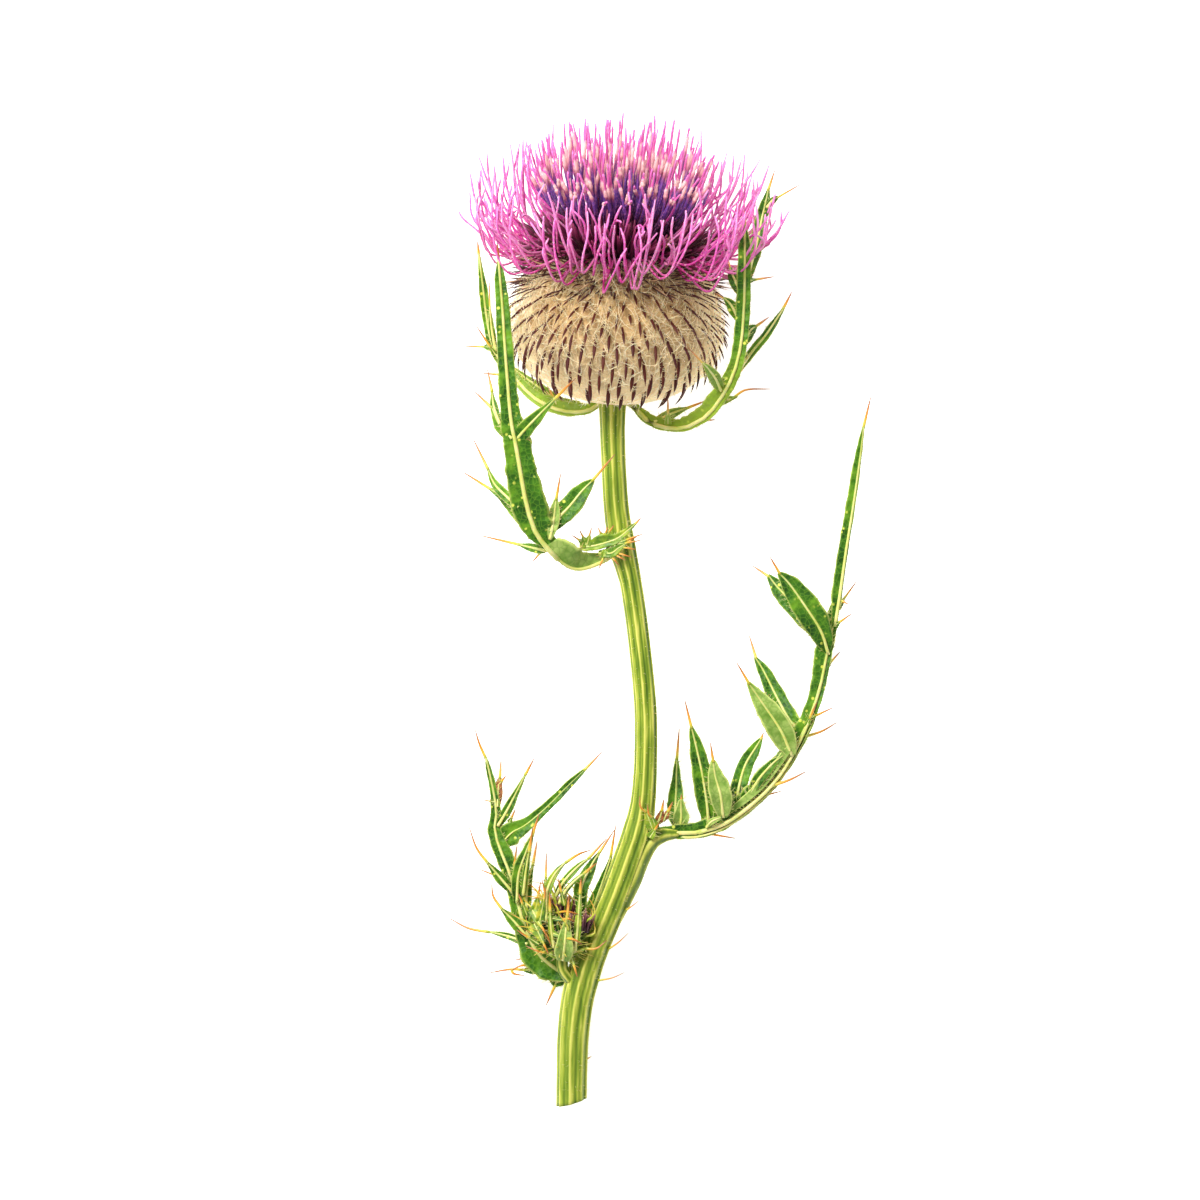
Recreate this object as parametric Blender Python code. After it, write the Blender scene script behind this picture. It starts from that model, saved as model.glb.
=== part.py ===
"""A cut, flowering thistle stem lying on a flat surface, with its woolly head, spiny leaves and side bud.

Frame: +Y runs along the stem towards the flower, +Z is up from the surface, which is Z = 0. Lengths in the
tables are millimetres; MM turns them into metres.
"""

import math

import bpy
import bmesh
from mathutils import Matrix, Vector

MM = 0.001
UP = Vector((0, 0, 1))

# ---- driving dimensions, in millimetres ----
STEM_LOW_Z, STEM_NECK_Z = 4.0, 27.6
STEM_CUT_Y, STEM_NECK_Y = -124.0, 52.3
CUT_SLOPE = 0.13
RIB_COUNT, RIB_DEPTH = 9, 0.055

HEAD_TILT = math.radians(8)
HEAD_LEAN = 0.05
GLOBE_RADIUS, GLOBE_MIDDLE = 27.6, 18.5
GLOBE_BELOW, GLOBE_ABOVE = 18.3, 24.0
RIM_HEIGHT = 34.6
WALL = 3.6
THROAT = 13.2
ROUND_NECK = (3.9, 9.6)
GAP = 0.35
BRACT_ROWS, BRACTS_IN_ROW = 10, 12
BRACT_LENGTH = 3.0
BRACT_WIDTHS, BRACT_HEIGHTS = [1.7, 0.5], [1.5, 0.4]
BRACT_FAN_HEIGHT = 40.0

RECEPTACLE_TOP = 6.2
FLORET_FLOOR = 0.62
BLADE = 0.9
SPINE_TIP = 0.3

# Distance from the head's axis and height above the neck along one floret of each ring, from the centre out.
FLORET_RINGS = [
    (6, [(1.9, 7), (1.9, 36), (2.6, 54), (3.2, 72.5)]),
    (9, [(4.4, 7), (4.6, 36), (6.6, 54), (8.6, 71.5)]),
    (12, [(6.9, 7), (7.5, 36), (11.5, 52), (14.5, 69.5)]),
    (16, [(9.2, 7), (10.2, 36), (17, 49.5), (20.8, 67)]),
    (20, [(11.4, 8.6), (12.9, 36), (23, 46), (27.5, 63)]),
    (24, [(13.8, 13), (15.6, 36), (28.5, 42), (34.6, 47.5), (36.3, 59)]),
]
FLORET_WALL = 1.0
FLORET_THICKNESS, FLORET_TIP = 1.2, 0.5

GREEN = (0.10, 0.30, 0.03)
YELLOW_GREEN = (0.33, 0.40, 0.07)
DARK_GREEN = (0.05, 0.17, 0.03)
WOOL = (0.60, 0.50, 0.33)
PINK = (0.80, 0.16, 0.50)
VIOLET = (0.22, 0.05, 0.27)
PURPLE_BROWN = (0.15, 0.04, 0.06)
BROWN = (0.25, 0.13, 0.06)


def clear_scene():
    for old in list(bpy.data.objects):
        bpy.data.objects.remove(old)


def material(name, colour, roughness):
    """One plain finish."""
    made = bpy.data.materials.new(name)
    made.use_nodes = True
    shader = made.node_tree.nodes["Principled BSDF"]
    shader.inputs["Base Color"].default_value = (*colour, 1)
    shader.inputs["Roughness"].default_value = roughness
    shader.inputs["Metallic"].default_value = 0
    return made


def add_part(name, bm, colour, roughness=0.6, smooth=False):
    """Turns a bmesh in millimetres into a named object in metres."""
    bmesh.ops.recalc_face_normals(bm, faces=bm.faces)
    bmesh.ops.scale(bm, vec=(MM, MM, MM), verts=bm.verts)
    mesh = bpy.data.meshes.new(name)
    bm.to_mesh(mesh)
    bm.free()
    if smooth:
        mesh.shade_smooth()
    mesh.materials.append(material(name, colour, roughness))
    made = bpy.data.objects.new(name, mesh)
    PARTS.objects.link(made)
    return made


def smooth_path(points, segments):
    """Evenly spaced places along a curve that passes through the points."""
    points = [Vector(p) for p in points]
    ends = [2 * points[0] - points[1], *points, 2 * points[-1] - points[-2]]
    made = []
    for step in range(segments + 1):
        place = step * (len(points) - 1) / segments
        k = min(int(place), len(points) - 2)
        t = place - k
        a, b, c, d = ends[k : k + 4]
        made.append(
            0.5 * (2 * b + (c - a) * t + (2 * a - 5 * b + 4 * c - d) * t * t + (3 * b - a - 3 * c + d) * t**3)
        )
    return made


def spread(values, segments):
    """The values, evenly stretched over a number of segments."""
    made = []
    for step in range(segments + 1):
        place = step * (len(values) - 1) / segments
        k = min(int(place), len(values) - 2)
        made.append(values[k] + (values[k + 1] - values[k]) * (place - k))
    return made


def axes_along(direction, up):
    """(across, up) at right angles to a direction."""
    across = direction.cross(up).normalized()
    return across, across.cross(direction).normalized()


def corner_signs(face, across, above):
    """(right or left, top or bottom) for each corner of a four-sided face, with the corners kept in order."""
    middle = face.calc_center_median()
    order = [(1, 1), (1, -1), (-1, -1), (-1, 1)]
    turns = [order[k:] + order[:k] for k in range(4)]

    def agreement(signs):
        return sum((v.co - middle).dot(across * s + above * t) for v, (s, t) in zip(face.verts, signs))

    return max(turns, key=agreement)


def grow(bm, face, path, widths, heights, up=UP):
    """Extrudes a four-sided face along a path as a flat bar. Returns its sides as {1: right, -1: left}."""
    sides = {1: [], -1: []}
    here = face.calc_center_median()
    for step, (there, width, height) in enumerate(zip(path, widths, heights)):
        ahead = path[step + 1] if step + 1 < len(path) else there + (there - here)
        across, above = axes_along((ahead - here).normalized(), up)
        face = bmesh.ops.extrude_discrete_faces(bm, faces=[face])["faces"][0]
        signs = corner_signs(face, across, above)
        for v, (right, top) in zip(face.verts, signs):
            v.co = there + across * (right * width / 2) + above * (top * height / 2)
        for edge in face.edges:
            ways = {signs[list(face.verts).index(v)][0] for v in edge.verts}
            if len(ways) == 1:
                beside = [f for f in edge.link_faces if f != face]
                sides[ways.pop()].append(beside[0])
        here = there
    return sides


def start_bar(bm, path, width, height, up=UP):
    """A box from the first place of a path to the second. Returns its end face and its side faces."""
    bmesh.ops.create_cube(bm, size=2)
    across, above = axes_along((path[1] - path[0]).normalized(), up)
    end = next(f for f in bm.faces if f.normal.y > 0.9)
    sides = {s: [f for f in bm.faces if f.normal.x * s > 0.9] for s in (1, -1)}
    for v in bm.verts:
        along, right, top = v.co.y, v.co.x, v.co.z
        base = path[1] if along > 0 else path[0]
        v.co = base + across * (right * width / 2) + above * (top * height / 2)
    return end, sides


def add_lobe(bm, free_faces, points, width, up=UP, smaller=()):
    """Grows one lobe from the free side face nearest its root, ending in a spine."""
    root, *rest = [Vector(p) for p in points]
    face = min(free_faces, key=lambda f: (f.calc_center_median() - root).length)
    free_faces.remove(face)
    here = face.calc_center_median()
    path = [here.lerp(rest[0], 0.4), *rest]
    count = len(path)
    widths = [width, *[width * 0.8 ** (k + 1) for k in range(count - 2)], SPINE_TIP]
    if count > 2:
        widths[-2] = min(widths[-2], 1.1)
    heights = [BLADE * 0.9] * (count - 1) + [SPINE_TIP]
    sides = grow(bm, face, path, widths, heights, up)
    for side, more_points, more_width in smaller:
        add_lobe(bm, sides[side], more_points, more_width, up)


def add_leaf(name, points, widths, segments, lobes, up=UP, colour=GREEN):
    """A leaf blade along its midrib with its lobes. A lobe is (side, points, width, smaller lobes)."""
    bm = bmesh.new()
    path = smooth_path(points, segments)
    wide = spread(widths, segments)
    thick = [BLADE] * (segments - 1) + [0.6, SPINE_TIP]
    end, sides = start_bar(bm, path, wide[0], thick[0], up)
    grown = grow(bm, end, path[2:], wide[2:], thick[2:], up)
    for side in sides:
        sides[side] += grown[side]
    for side, lobe_points, width, *smaller in lobes:
        add_lobe(bm, sides[side], lobe_points, width, up, *smaller)
    return add_part(name, bm, colour)


# ---------------------------------------------------------------- stem
def stem_z(y):
    """Height of the stem's middle above the surface."""
    share = (y - STEM_CUT_Y) / (STEM_NECK_Y - STEM_CUT_Y)
    return STEM_LOW_Z + share * (STEM_NECK_Z - STEM_LOW_Z)


STEM_LINE = [
    # across, along, radius
    (-22.2, STEM_CUT_Y, 3.75), (-22.1, -116, 3.75), (-21.8, -107, 3.85), (-20.8, -98, 3.9), (-18.8, -90, 4.0),
    (-16.4, -83.5, 3.85), (-13.2, -76, 3.8), (-10.6, -69.5, 3.75), (-7.9, -62, 3.75), (-5.4, -55, 3.7),
    (-4.2, -47.5, 3.1), (-3.6, -38, 2.75), (-3.5, -28, 2.7), (-3.9, -20, 2.7), (-4.9, -10, 2.7),
    (-6.0, -1, 2.65), (-7.4, 8, 2.65), (-9.4, 16.5, 3.3), (-10.9, 26, 3.1), (-11.6, 37, 3.0),
    (-11.9, 46, 3.1),
]
# Height above the neck and radius of the stem's top, which widens into the receptacle that bears the florets.
RECEPTACLE = [(-2.2, 3.1), (0.7, 3.1), (2.6, 6.8), (4.9, 11.2), (RECEPTACLE_TOP, 11.0)]


def build_stem():
    bm = bmesh.new()
    sides = 2 * RIB_COUNT
    bmesh.ops.create_cone(bm, cap_ends=True, segments=sides, radius1=1, radius2=1, depth=2)
    line = [Vector((x, y, stem_z(y))) for x, y, _ in STEM_LINE]
    radii = [r for _, _, r in STEM_LINE]
    axis = HEAD.to_3x3() @ UP
    neck = HEAD @ Vector((0, 0, 0))
    for height, radius in RECEPTACLE:
        line.append(neck + axis * height)
        radii.append(radius)
    cap = max((f for f in bm.faces if len(f.verts) == sides), key=lambda f: f.normal.z)
    foot = min((f for f in bm.faces if len(f.verts) == sides), key=lambda f: f.normal.z)
    angles = {v: math.atan2(v.co.y, v.co.x) for v in bm.verts}

    def place(verts, turn, k):
        ahead = (line[min(k + 1, len(line) - 1)] - line[max(k - 1, 0)]).normalized()
        across, above = axes_along(ahead, UP)
        for v, angle in zip(verts, turn):
            rib = 1 + RIB_DEPTH * math.cos(RIB_COUNT * angle)
            r = radii[k] * rib
            v.co = line[k] + across * (r * math.cos(angle)) + above * (r * math.sin(angle))

    turn = [angles[v] for v in cap.verts]
    place(foot.verts, [angles[v] for v in foot.verts], 0)
    for v in foot.verts:
        v.co.y += CUT_SLOPE * (v.co.x - line[0].x)
    place(cap.verts, turn, 1)
    for k in range(2, len(line)):
        cap = bmesh.ops.extrude_discrete_faces(bm, faces=[cap])["faces"][0]
        place(cap.verts, turn, k)
    add_part("stem", bm, YELLOW_GREEN, 0.5)


# ---------------------------------------------------------------- flower head
def globe_radius(height):
    reach = GLOBE_BELOW if height < GLOBE_MIDDLE else GLOBE_ABOVE
    return GLOBE_RADIUS * math.sqrt(max(0.0, 1 - ((height - GLOBE_MIDDLE) / reach) ** 2))


def turned_ring(profile, steps):
    """A closed ring from (radius, height) corners, turned about the upright axis."""
    bm = bmesh.new()
    corners = [bm.verts.new((r, 0, h)) for r, h in profile]
    edges = [bm.edges.new((corners[k], corners[(k + 1) % len(corners)])) for k in range(len(corners))]
    bmesh.ops.spin(
        bm, geom=corners + edges, cent=(0, 0, 0), axis=(0, 0, 1), dvec=(0, 0, 0),
        angle=2 * math.pi, steps=steps, use_merge=True,
    )
    bmesh.ops.recalc_face_normals(bm, faces=bm.faces)
    return bm


def turned_about_axis(bm, faces, skip):
    """Every second face of a ring, in order round the axis."""
    ordered = sorted(faces, key=lambda f: math.atan2(f.calc_center_median().y, f.calc_center_median().x))
    return ordered[skip::2]


def build_bract_row(row):
    low = GAP + row * RIM_HEIGHT / BRACT_ROWS
    high = low + RIM_HEIGHT / BRACT_ROWS - GAP
    outer_low, outer_high = globe_radius(low + 0.6), globe_radius(high)
    inner_low, inner_high = max(THROAT, outer_low - WALL), max(THROAT, outer_high - WALL)
    if row == 0:
        inner_low, inner_high = ROUND_NECK
    profile = [(inner_low, low), (outer_low, low), (outer_high, high), (inner_high, high)]
    bm = turned_ring(profile, 2 * BRACTS_IN_ROW)
    outer = [
        f for f in bm.faces
        if f.normal.x * f.calc_center_median().x + f.normal.y * f.calc_center_median().y > 0
        and f.calc_center_median().xy.length > (inner_low + inner_high) / 2 + 1
        and abs(f.calc_center_median().z - (low + high) / 2) < 0.5
    ]
    chosen = turned_about_axis(bm, outer, row % 2)
    middles = [f.calc_center_median() for f in chosen]
    top = Vector((0, 0, BRACT_FAN_HEIGHT))
    for face, middle in zip(chosen, middles):
        away = (middle - top).normalized()
        away = (away + Vector((middle.x, middle.y, 0)).normalized() * 0.9).normalized()
        path = [middle + away * 0.3, middle + away * BRACT_LENGTH]
        grow(bm, face, path, BRACT_WIDTHS, BRACT_HEIGHTS)
    bm.transform(HEAD)
    for v in bm.verts:
        v.co.z = max(v.co.z, FLORET_FLOOR)
    add_part(f"bract_row_{row + 1:02d}", bm, WOOL, 0.9)


def build_floret_ring(ring):
    count, line = FLORET_RINGS[ring]
    (r0, h0), (r1, h1) = line[0], line[1]
    half = FLORET_WALL / 2
    bm = turned_ring([(r0 - half, h0), (r0 + half, h0), (r1 + half, h1), (r1 - half, h1)], 2 * count)
    top = [f for f in bm.faces if f.normal.z > 0.5 and f.calc_center_median().z > h1 - 0.5]
    chosen = turned_about_axis(bm, top, ring % 2)
    turns = [math.atan2(f.calc_center_median().y, f.calc_center_median().x) for f in chosen]
    bm.transform(HEAD)
    for face, turn in zip(chosen, turns):
        path = []
        for r, h in line[2:]:
            p = HEAD @ Vector((r * math.cos(turn), r * math.sin(turn), h))
            p.z = max(p.z, FLORET_FLOOR)
            path.append(p)
        outward = (HEAD.to_3x3() @ Vector((math.cos(turn), math.sin(turn), 0))).normalized()
        sizes = [FLORET_THICKNESS] * (len(path) - 1) + [FLORET_TIP]
        grow(bm, face, path, sizes, sizes, up=outward)
    add_part(f"floret_ring_{ring + 1}", bm, VIOLET if ring < 3 else PINK, 0.6)


# ---------------------------------------------------------------- leaves
def build_leaves():
    add_leaf(
        "right_long_leaf",
        [(-0.9, -55, 13), (7, -54.8, 11.5), (13, -53.5, 10), (21, -49, 9.5), (28.5, -42, 9.5), (34, -32, 10),
         (40, -17, 10), (43.3, -4, 10), (45.8, 12, 11), (48.2, 31, 12), (51.8, 49, 13), (53.1, 54.5, 13.5)],
        [3, 3.4, 3.6, 4, 4.4, 4.4, 3.6, 2.8, 2.4, 2.2, 1.4, 0.3], 33,
        [
            (-1, [(-0.5, -54.5, 13), (-1.2, -52, 17.6), (-4.5, -47, 18.6)], 1.2),
            (-1, [(7.4, -53, 10), (5.2, -43, 6), (4.4, -36.5, 4), (5.1, -29.8, 3)], 4.2),
            (-1, [(11, -53, 12), (7.5, -42, 13), (8, -28, 15), (6.1, -21.8, 16)], 4.2),
            (-1, [(18, -51, 12), (14.8, -44, 14), (13.4, -37, 16), (12.4, -32.5, 17.5)], 4.2),
            (-1, [(22, -48, 9), (24, -38, 5), (25.8, -31, 3)], 4),
            (-1, [(31, -38, 11), (27, -26, 14), (21.9, -17, 16), (18.9, -12, 18)], 5),
            (-1, [(34.6, -31, 9), (29, -19, 5), (24.1, -10.5, 3), (22.6, -5.3, 0.6)], 4),
            (-1, [(42, -11, 11), (36, 0, 15), (29.4, 10.2, 17), (27.4, 14.5, 19)], 4),
            (-1, [(43.6, -4, 9), (37.1, 5.5, 7), (27.9, 9.5, 6), (23.1, 12, 5)], 3),
            (1, [(10, -54.7, 10), (18.9, -57, 9)], 1), (1, [(28, -43, 10), (36.9, -39.8, 13)], 1),
            (1, [(35, -31, 9), (45, -27.8, 6)], 1), (1, [(37.5, -25, 10), (44, -23.8, 13)], 1),
            (1, [(41, -15, 9), (45.4, -10, 6)], 1), (1, [(44, -2, 10), (48.4, 0, 13)], 1),
            (1, [(44.8, 4, 9), (49.6, 8, 5)], 1),
        ],
    )
    add_leaf(
        "upper_left_leaf",
        [(-14.2, 15.8, 22.5), (-17.1, 12.9, 24), (-21.4, 11, 26.5), (-25.2, 12, 29.5), (-29.1, 15.8, 32.5),
         (-31.8, 20, 34.5), (-33.4, 26, 36.5), (-34.6, 32, 38.5), (-36, 42.5, 41.5), (-37.4, 48, 43),
         (-38.2, 56, 44.5), (-38.9, 66, 45.5), (-39.4, 78, 46), (-40.1, 87, 46), (-40.6, 91, 46)],
        [2.4, 3, 4, 5.5, 6, 7, 7.5, 7.5, 5.5, 5, 4.6, 4.2, 3.8, 2.4, 0.4], 28,
        [
            (1, [(-14.5, 16.5, 23), (-12.6, 18.2, 27.6), (-5, 23.5, 28.6)], 1.2),
            (1, [(-19, 13, 22), (-18, 18.7, 26.5), (-12.4, 20.5, 28.4)], 1.2),
            (1, [(-24, 14, 29), (-23, 24, 31), (-16.4, 33.8, 33), (-11.4, 40, 35)], 5),
            (1, [(-28, 19, 33), (-26.5, 26, 38), (-25.9, 29.8, 40), (-24.6, 35.3, 41.5)], 3),
            (1, [(-33.5, 43, 41), (-30, 49.5, 45), (-26.1, 53.5, 48), (-22.6, 57.3, 51)], 3),
            (-1, [(-27, 12.5, 29), (-35.6, 17.2, 23), (-45.1, 19.5, 17)], 2),
            (-1, [(-31, 17, 33), (-42.6, 31, 27), (-49.6, 35.5, 22)], 3),
            (-1, [(-36.5, 30, 38), (-42.9, 35.8, 33), (-46.6, 43.5, 30)], 2),
            (-1, [(-38, 45, 42), (-42.6, 53, 41), (-46.4, 55.3, 39)], 2.5),
        ],
    )
    add_leaf(
        "head_leaf_right",
        [(-7.6, 50.6, 27.5), (-4.4, 48.4, 27), (-1.1, 47, 27), (2.6, 46.8, 28.4), (6.4, 47.8, 30.5),
         (9.9, 50, 34.5), (12.6, 53.6, 38), (15.1, 57.5, 41), (17.6, 62, 43), (19.1, 66.8, 44),
         (20, 71.5, 44.6), (20.4, 78.5, 45), (20.6, 87, 45.5), (20.6, 95.8, 46), (20.7, 100, 46)],
        [2.2, 2.8, 3.4, 3.6, 4, 4.2, 4.5, 4.6, 4.4, 4.2, 4.2, 4.2, 4, 2.4, 0.4], 28,
        [
            (1, [(10.6, 48.5, 32), (13.6, 48.2, 31)], 1),
            (1, [(15, 54, 36), (19.4, 54.5, 33), (27.4, 56, 30)], 1.6),
            (1, [(18.5, 60, 38), (22.6, 63.3, 36)], 1.2),
            (1, [(21, 65.5, 40), (30.6, 76, 33), (33.1, 80.5, 31)], 1.8),
            (1, [(21, 70, 41), (23.9, 71.5, 37), (27.4, 74, 35)], 1.5),
            (1, [(22, 80, 41), (28.4, 84, 38)], 1),
            (1, [(22, 84, 45), (24.2, 90, 36), (25.6, 96.3, 29), (28.1, 106, 24), (28.6, 111.3, 23)], 3.6,
             [(1, [(26.5, 103, 26), (34.9, 107.3, 25)], 1)]),
            (-1, [(12.4, 57, 42), (10.6, 60.5, 51), (6.6, 65, 58.5)], 1.8),
            (-1, [(2.6, 48.8, 30), (1.9, 53.2, 38)], 1),
        ],
    )
    add_leaf(
        "head_leaf_left",
        [(-16, 50.6, 27.3), (-18.8, 50.2, 25.5), (-22.6, 50.2, 22), (-27.4, 51.2, 18), (-32.6, 54, 14.5),
         (-37.6, 58.8, 12), (-40.4, 63.3, 10.5), (-42.6, 69, 9.5), (-44.1, 75, 9.5), (-45.1, 82, 10),
         (-45.6, 88.3, 11), (-45.6, 92.5, 12)],
        [2.2, 2.6, 3.2, 3.4, 3, 2.6, 2.4, 2.4, 2.6, 2.4, 1.6, 0.4], 22,
        [
            (-1, [(-41, 58.5, 11), (-44.6, 60.3, 8)], 1), (-1, [(-43.5, 67, 9), (-50.1, 67.5, 0.7)], 1.2),
            (-1, [(-44, 70, 10), (-46.4, 75, 15)], 1),
            (1, [(-41, 69, 10), (-42.4, 76, 14), (-42.9, 82, 15)], 1),
            (1, [(-26, 53, 20), (-28.4, 57, 15)], 1),
        ],
    )
    add_leaf(
        "lower_left_leaf",
        [(-24.9, -93.4, 6.6), (-27.8, -89.8, 7), (-30.6, -86, 7.3), (-33.1, -81.3, 8),
         (-35.6, -75.3, 8.6), (-37.9, -68.8, 9), (-39.9, -62.3, 9.5), (-41.4, -56.3, 9.5),
         (-41.1, -50.5, 10), (-42.6, -43.8, 10.5), (-44.1, -37.8, 11), (-46.4, -30, 12)],
        [2.4, 5, 6, 5, 4, 4, 4.2, 3.6, 2.4, 2, 1.2, 0.4], 30,
        [
            (-1, [(-27, -93, 6), (-28.9, -99, 4)], 1),
            (-1, [(-31.5, -89, 7), (-37.6, -90, 3.5), (-43.1, -90.8, 1.5)], 1.6),
            (-1, [(-35, -82, 8), (-42.1, -80.5, 4), (-53.2, -76.8, 0.6)], 2.4),
            (-1, [(-36.5, -78, 8.5), (-40.1, -74.5, 9), (-42.4, -67.8, 8)], 2),
            (-1, [(-39, -70, 9), (-45.9, -64.5, 5)], 1.2),
            (-1, [(-40.5, -65, 9), (-43.9, -60, 12), (-48.1, -53.8, 11)], 2),
            (1, [(-33.5, -75, 8.6), (-32, -67, 9), (-31, -57.3, 9)], 1.8),
            (1, [(-35, -72, 9), (-34.9, -63, 14), (-32.6, -57.5, 17), (-30.1, -50, 18)], 2.6),
            (1, [(-39, -57, 9.5), (-30.1, -49.5, 9), (-23.6, -44.5, 8.5), (-17.9, -39, 8),
                 (-14.6, -34.8, 8)], 3),
            (1, [(-40, -50, 10), (-37, -45, 12), (-34.1, -40.3, 12), (-31.6, -36.5, 13)], 2),
            (1, [(-41.5, -46, 10.5), (-40.8, -41.5, 8), (-40.1, -36.8, 7)], 1.2),
        ],
    )
    add_leaf(
        "small_back_leaf",
        [(-23, -88.3, 4.4), (-19.6, -82, 3), (-16.9, -75, 2.4), (-14.5, -68, 2.6), (-12.4, -61, 3.4),
         (-11, -54, 4.4)],
        [1.8, 3, 3.6, 3.4, 1.6, 0.4], 8, [],
    )


# ---------------------------------------------------------------- side bud and shoot
BUD_PLACE = (-24.4, -80.4, 12.4)
BUD_RADIUS = 5.0
BUD_STALK = [(-25.0, -90.6, 11), (-25, -89, 11.4), (-24.8, -87.4, 11.8), (-24.6, -86.2, 12)]
STALK_WIDTH, STALK_END = 2.2, 2.0
BUD_BRACTS = [
    ([(-24.6, -87, 14.6), (-24.0, -83.5, 18.6), (-23.6, -79, 19.8), (-23, -73, 19.4)],
     [2.4, 4, 2.6, 0.4], GREEN),
    ([(-21.3, -85.2, 16.6), (-20.7, -80, 18.6), (-20.3, -73, 18.9), (-20, -66, 18.4)],
     [1.4, 1.8, 1.4, 0.4], GREEN),
    ([(-28.6, -79, 18), (-28.4, -72, 18.4), (-24.2, -63.8, 18), (-17, -61, 16)],
     [1.4, 1.8, 1.4, 0.4], GREEN),
    ([(-18.6, -75.6, 16.4), (-18.6, -68.5, 17), (-15.2, -60.5, 16), (-11.6, -55, 15.2)],
     [1.4, 2.8, 2.2, 0.4], GREEN),
    ([(-21.2, -87.4, 14.9), (-17.6, -85.4, 15.6), (-13.8, -82, 16)], [1.4, 1.2, 0.4], YELLOW_GREEN),
    ([(-29, -71.5, 12.5), (-28.9, -66, 12), (-28.6, -59.8, 11.6)], [1.4, 1.2, 0.4], YELLOW_GREEN),
]


def build_bud():
    stalk = bmesh.new()
    path = [Vector(p) for p in BUD_STALK]
    end, _ = start_bar(stalk, path, STALK_WIDTH, STALK_WIDTH)
    sizes = [STALK_WIDTH, STALK_END]
    grow(stalk, end, path[2:], sizes, sizes)
    add_part("bud_stalk", stalk, YELLOW_GREEN)

    cup = bmesh.new()
    bmesh.ops.create_uvsphere(cup, u_segments=12, v_segments=8, radius=BUD_RADIUS)
    turn = Matrix.Translation(BUD_PLACE) @ Matrix.Rotation(math.radians(-90), 4, "X")
    cut = BUD_RADIUS * 0.55
    bmesh.ops.bisect_plane(
        cup, geom=cup.verts[:] + cup.edges[:] + cup.faces[:], plane_co=(0, 0, cut), plane_no=(0, 0, 1),
        clear_outer=True,
    )
    bmesh.ops.holes_fill(cup, edges=[e for e in cup.edges if e.is_boundary])
    cup.transform(turn)
    add_part("bud_involucre", cup, DARK_GREEN)

    tuft = bmesh.new()
    bmesh.ops.create_cone(tuft, cap_ends=True, segments=10, radius1=2.6, radius2=3.4, depth=3)
    top = max(tuft.faces, key=lambda f: f.calc_center_median().z)
    bmesh.ops.poke(tuft, faces=[top])
    for v in tuft.verts:
        v.co.z += cut + GAP + 1.5
        if len(v.link_edges) > 5:
            v.co.z += 1.6
    tuft.transform(turn)
    add_part("bud_florets", tuft, PURPLE_BROWN)

    for number, (points, widths, colour) in enumerate(BUD_BRACTS):
        add_leaf(f"bud_bract_{number + 1}", points, widths, 5, [], colour=colour)


def build_sprout():
    add_leaf(
        "axil_sprout", [(0.9, -51.2, 14.2), (0.8, -49.8, 14.6), (0.7, -48.2, 15.1), (0.8, -46.2, 15.8)],
        [1.6, 2, 1.4, 0.4], 4, [(1, [(1.6, -49.6, 14.6), (2.9, -47.6, 15.4)], 0.8)], colour=BROWN,
    )


clear_scene()
PARTS = bpy.data.collections.new("thistle_flower")
bpy.context.scene.collection.children.link(PARTS)
HEAD_AXIS = Vector((HEAD_LEAN, math.cos(HEAD_TILT), math.sin(HEAD_TILT))).normalized()
HEAD_TURN = UP.rotation_difference(HEAD_AXIS).to_matrix().to_4x4()
HEAD = Matrix.Translation((STEM_LINE[-1][0], STEM_NECK_Y, STEM_NECK_Z)) @ HEAD_TURN

build_stem()
for row_number in range(BRACT_ROWS):
    build_bract_row(row_number)
for ring_number in range(len(FLORET_RINGS)):
    build_floret_ring(ring_number)
build_leaves()
build_bud()
build_sprout()
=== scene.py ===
"""The looks of a cut, flowering woolly thistle that lies on a pale floor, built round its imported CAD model.

Lengths in the tables are millimetres, in the model's own frame: +Y along the stem to the flower, +Z up.
"""

import math
import random

import bmesh
import bpy
import numpy as np
from mathutils import Matrix, Vector, noise


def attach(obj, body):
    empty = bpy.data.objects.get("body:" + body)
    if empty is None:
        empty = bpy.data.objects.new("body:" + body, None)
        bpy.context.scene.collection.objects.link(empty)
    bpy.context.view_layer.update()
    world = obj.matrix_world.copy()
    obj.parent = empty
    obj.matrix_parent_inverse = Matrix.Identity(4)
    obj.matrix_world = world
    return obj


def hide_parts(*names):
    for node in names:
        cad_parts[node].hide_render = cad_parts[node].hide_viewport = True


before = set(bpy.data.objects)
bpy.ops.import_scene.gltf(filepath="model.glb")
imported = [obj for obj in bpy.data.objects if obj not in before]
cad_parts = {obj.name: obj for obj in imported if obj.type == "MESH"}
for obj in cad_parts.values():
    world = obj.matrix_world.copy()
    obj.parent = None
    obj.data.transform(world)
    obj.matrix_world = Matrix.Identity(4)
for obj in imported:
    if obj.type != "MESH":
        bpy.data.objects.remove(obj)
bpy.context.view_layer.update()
MM = 0.001
UP = Vector((0, 0, 1))
FLOOR_CLEARANCE = 0.15
FULL_TURN = 2 * math.pi
GOLDEN_TURN = math.radians(137.508)


# ================================================================ small helpers
def rgb(red, green, blue):
    """A display colour, 0 to 255, as the linear colour that a shader takes."""
    def linear(value):
        share = value / 255
        return share / 12.92 if share <= 0.04045 else ((share + 0.055) / 1.055) ** 2.4
    return (linear(red), linear(green), linear(blue), 1.0)


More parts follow.
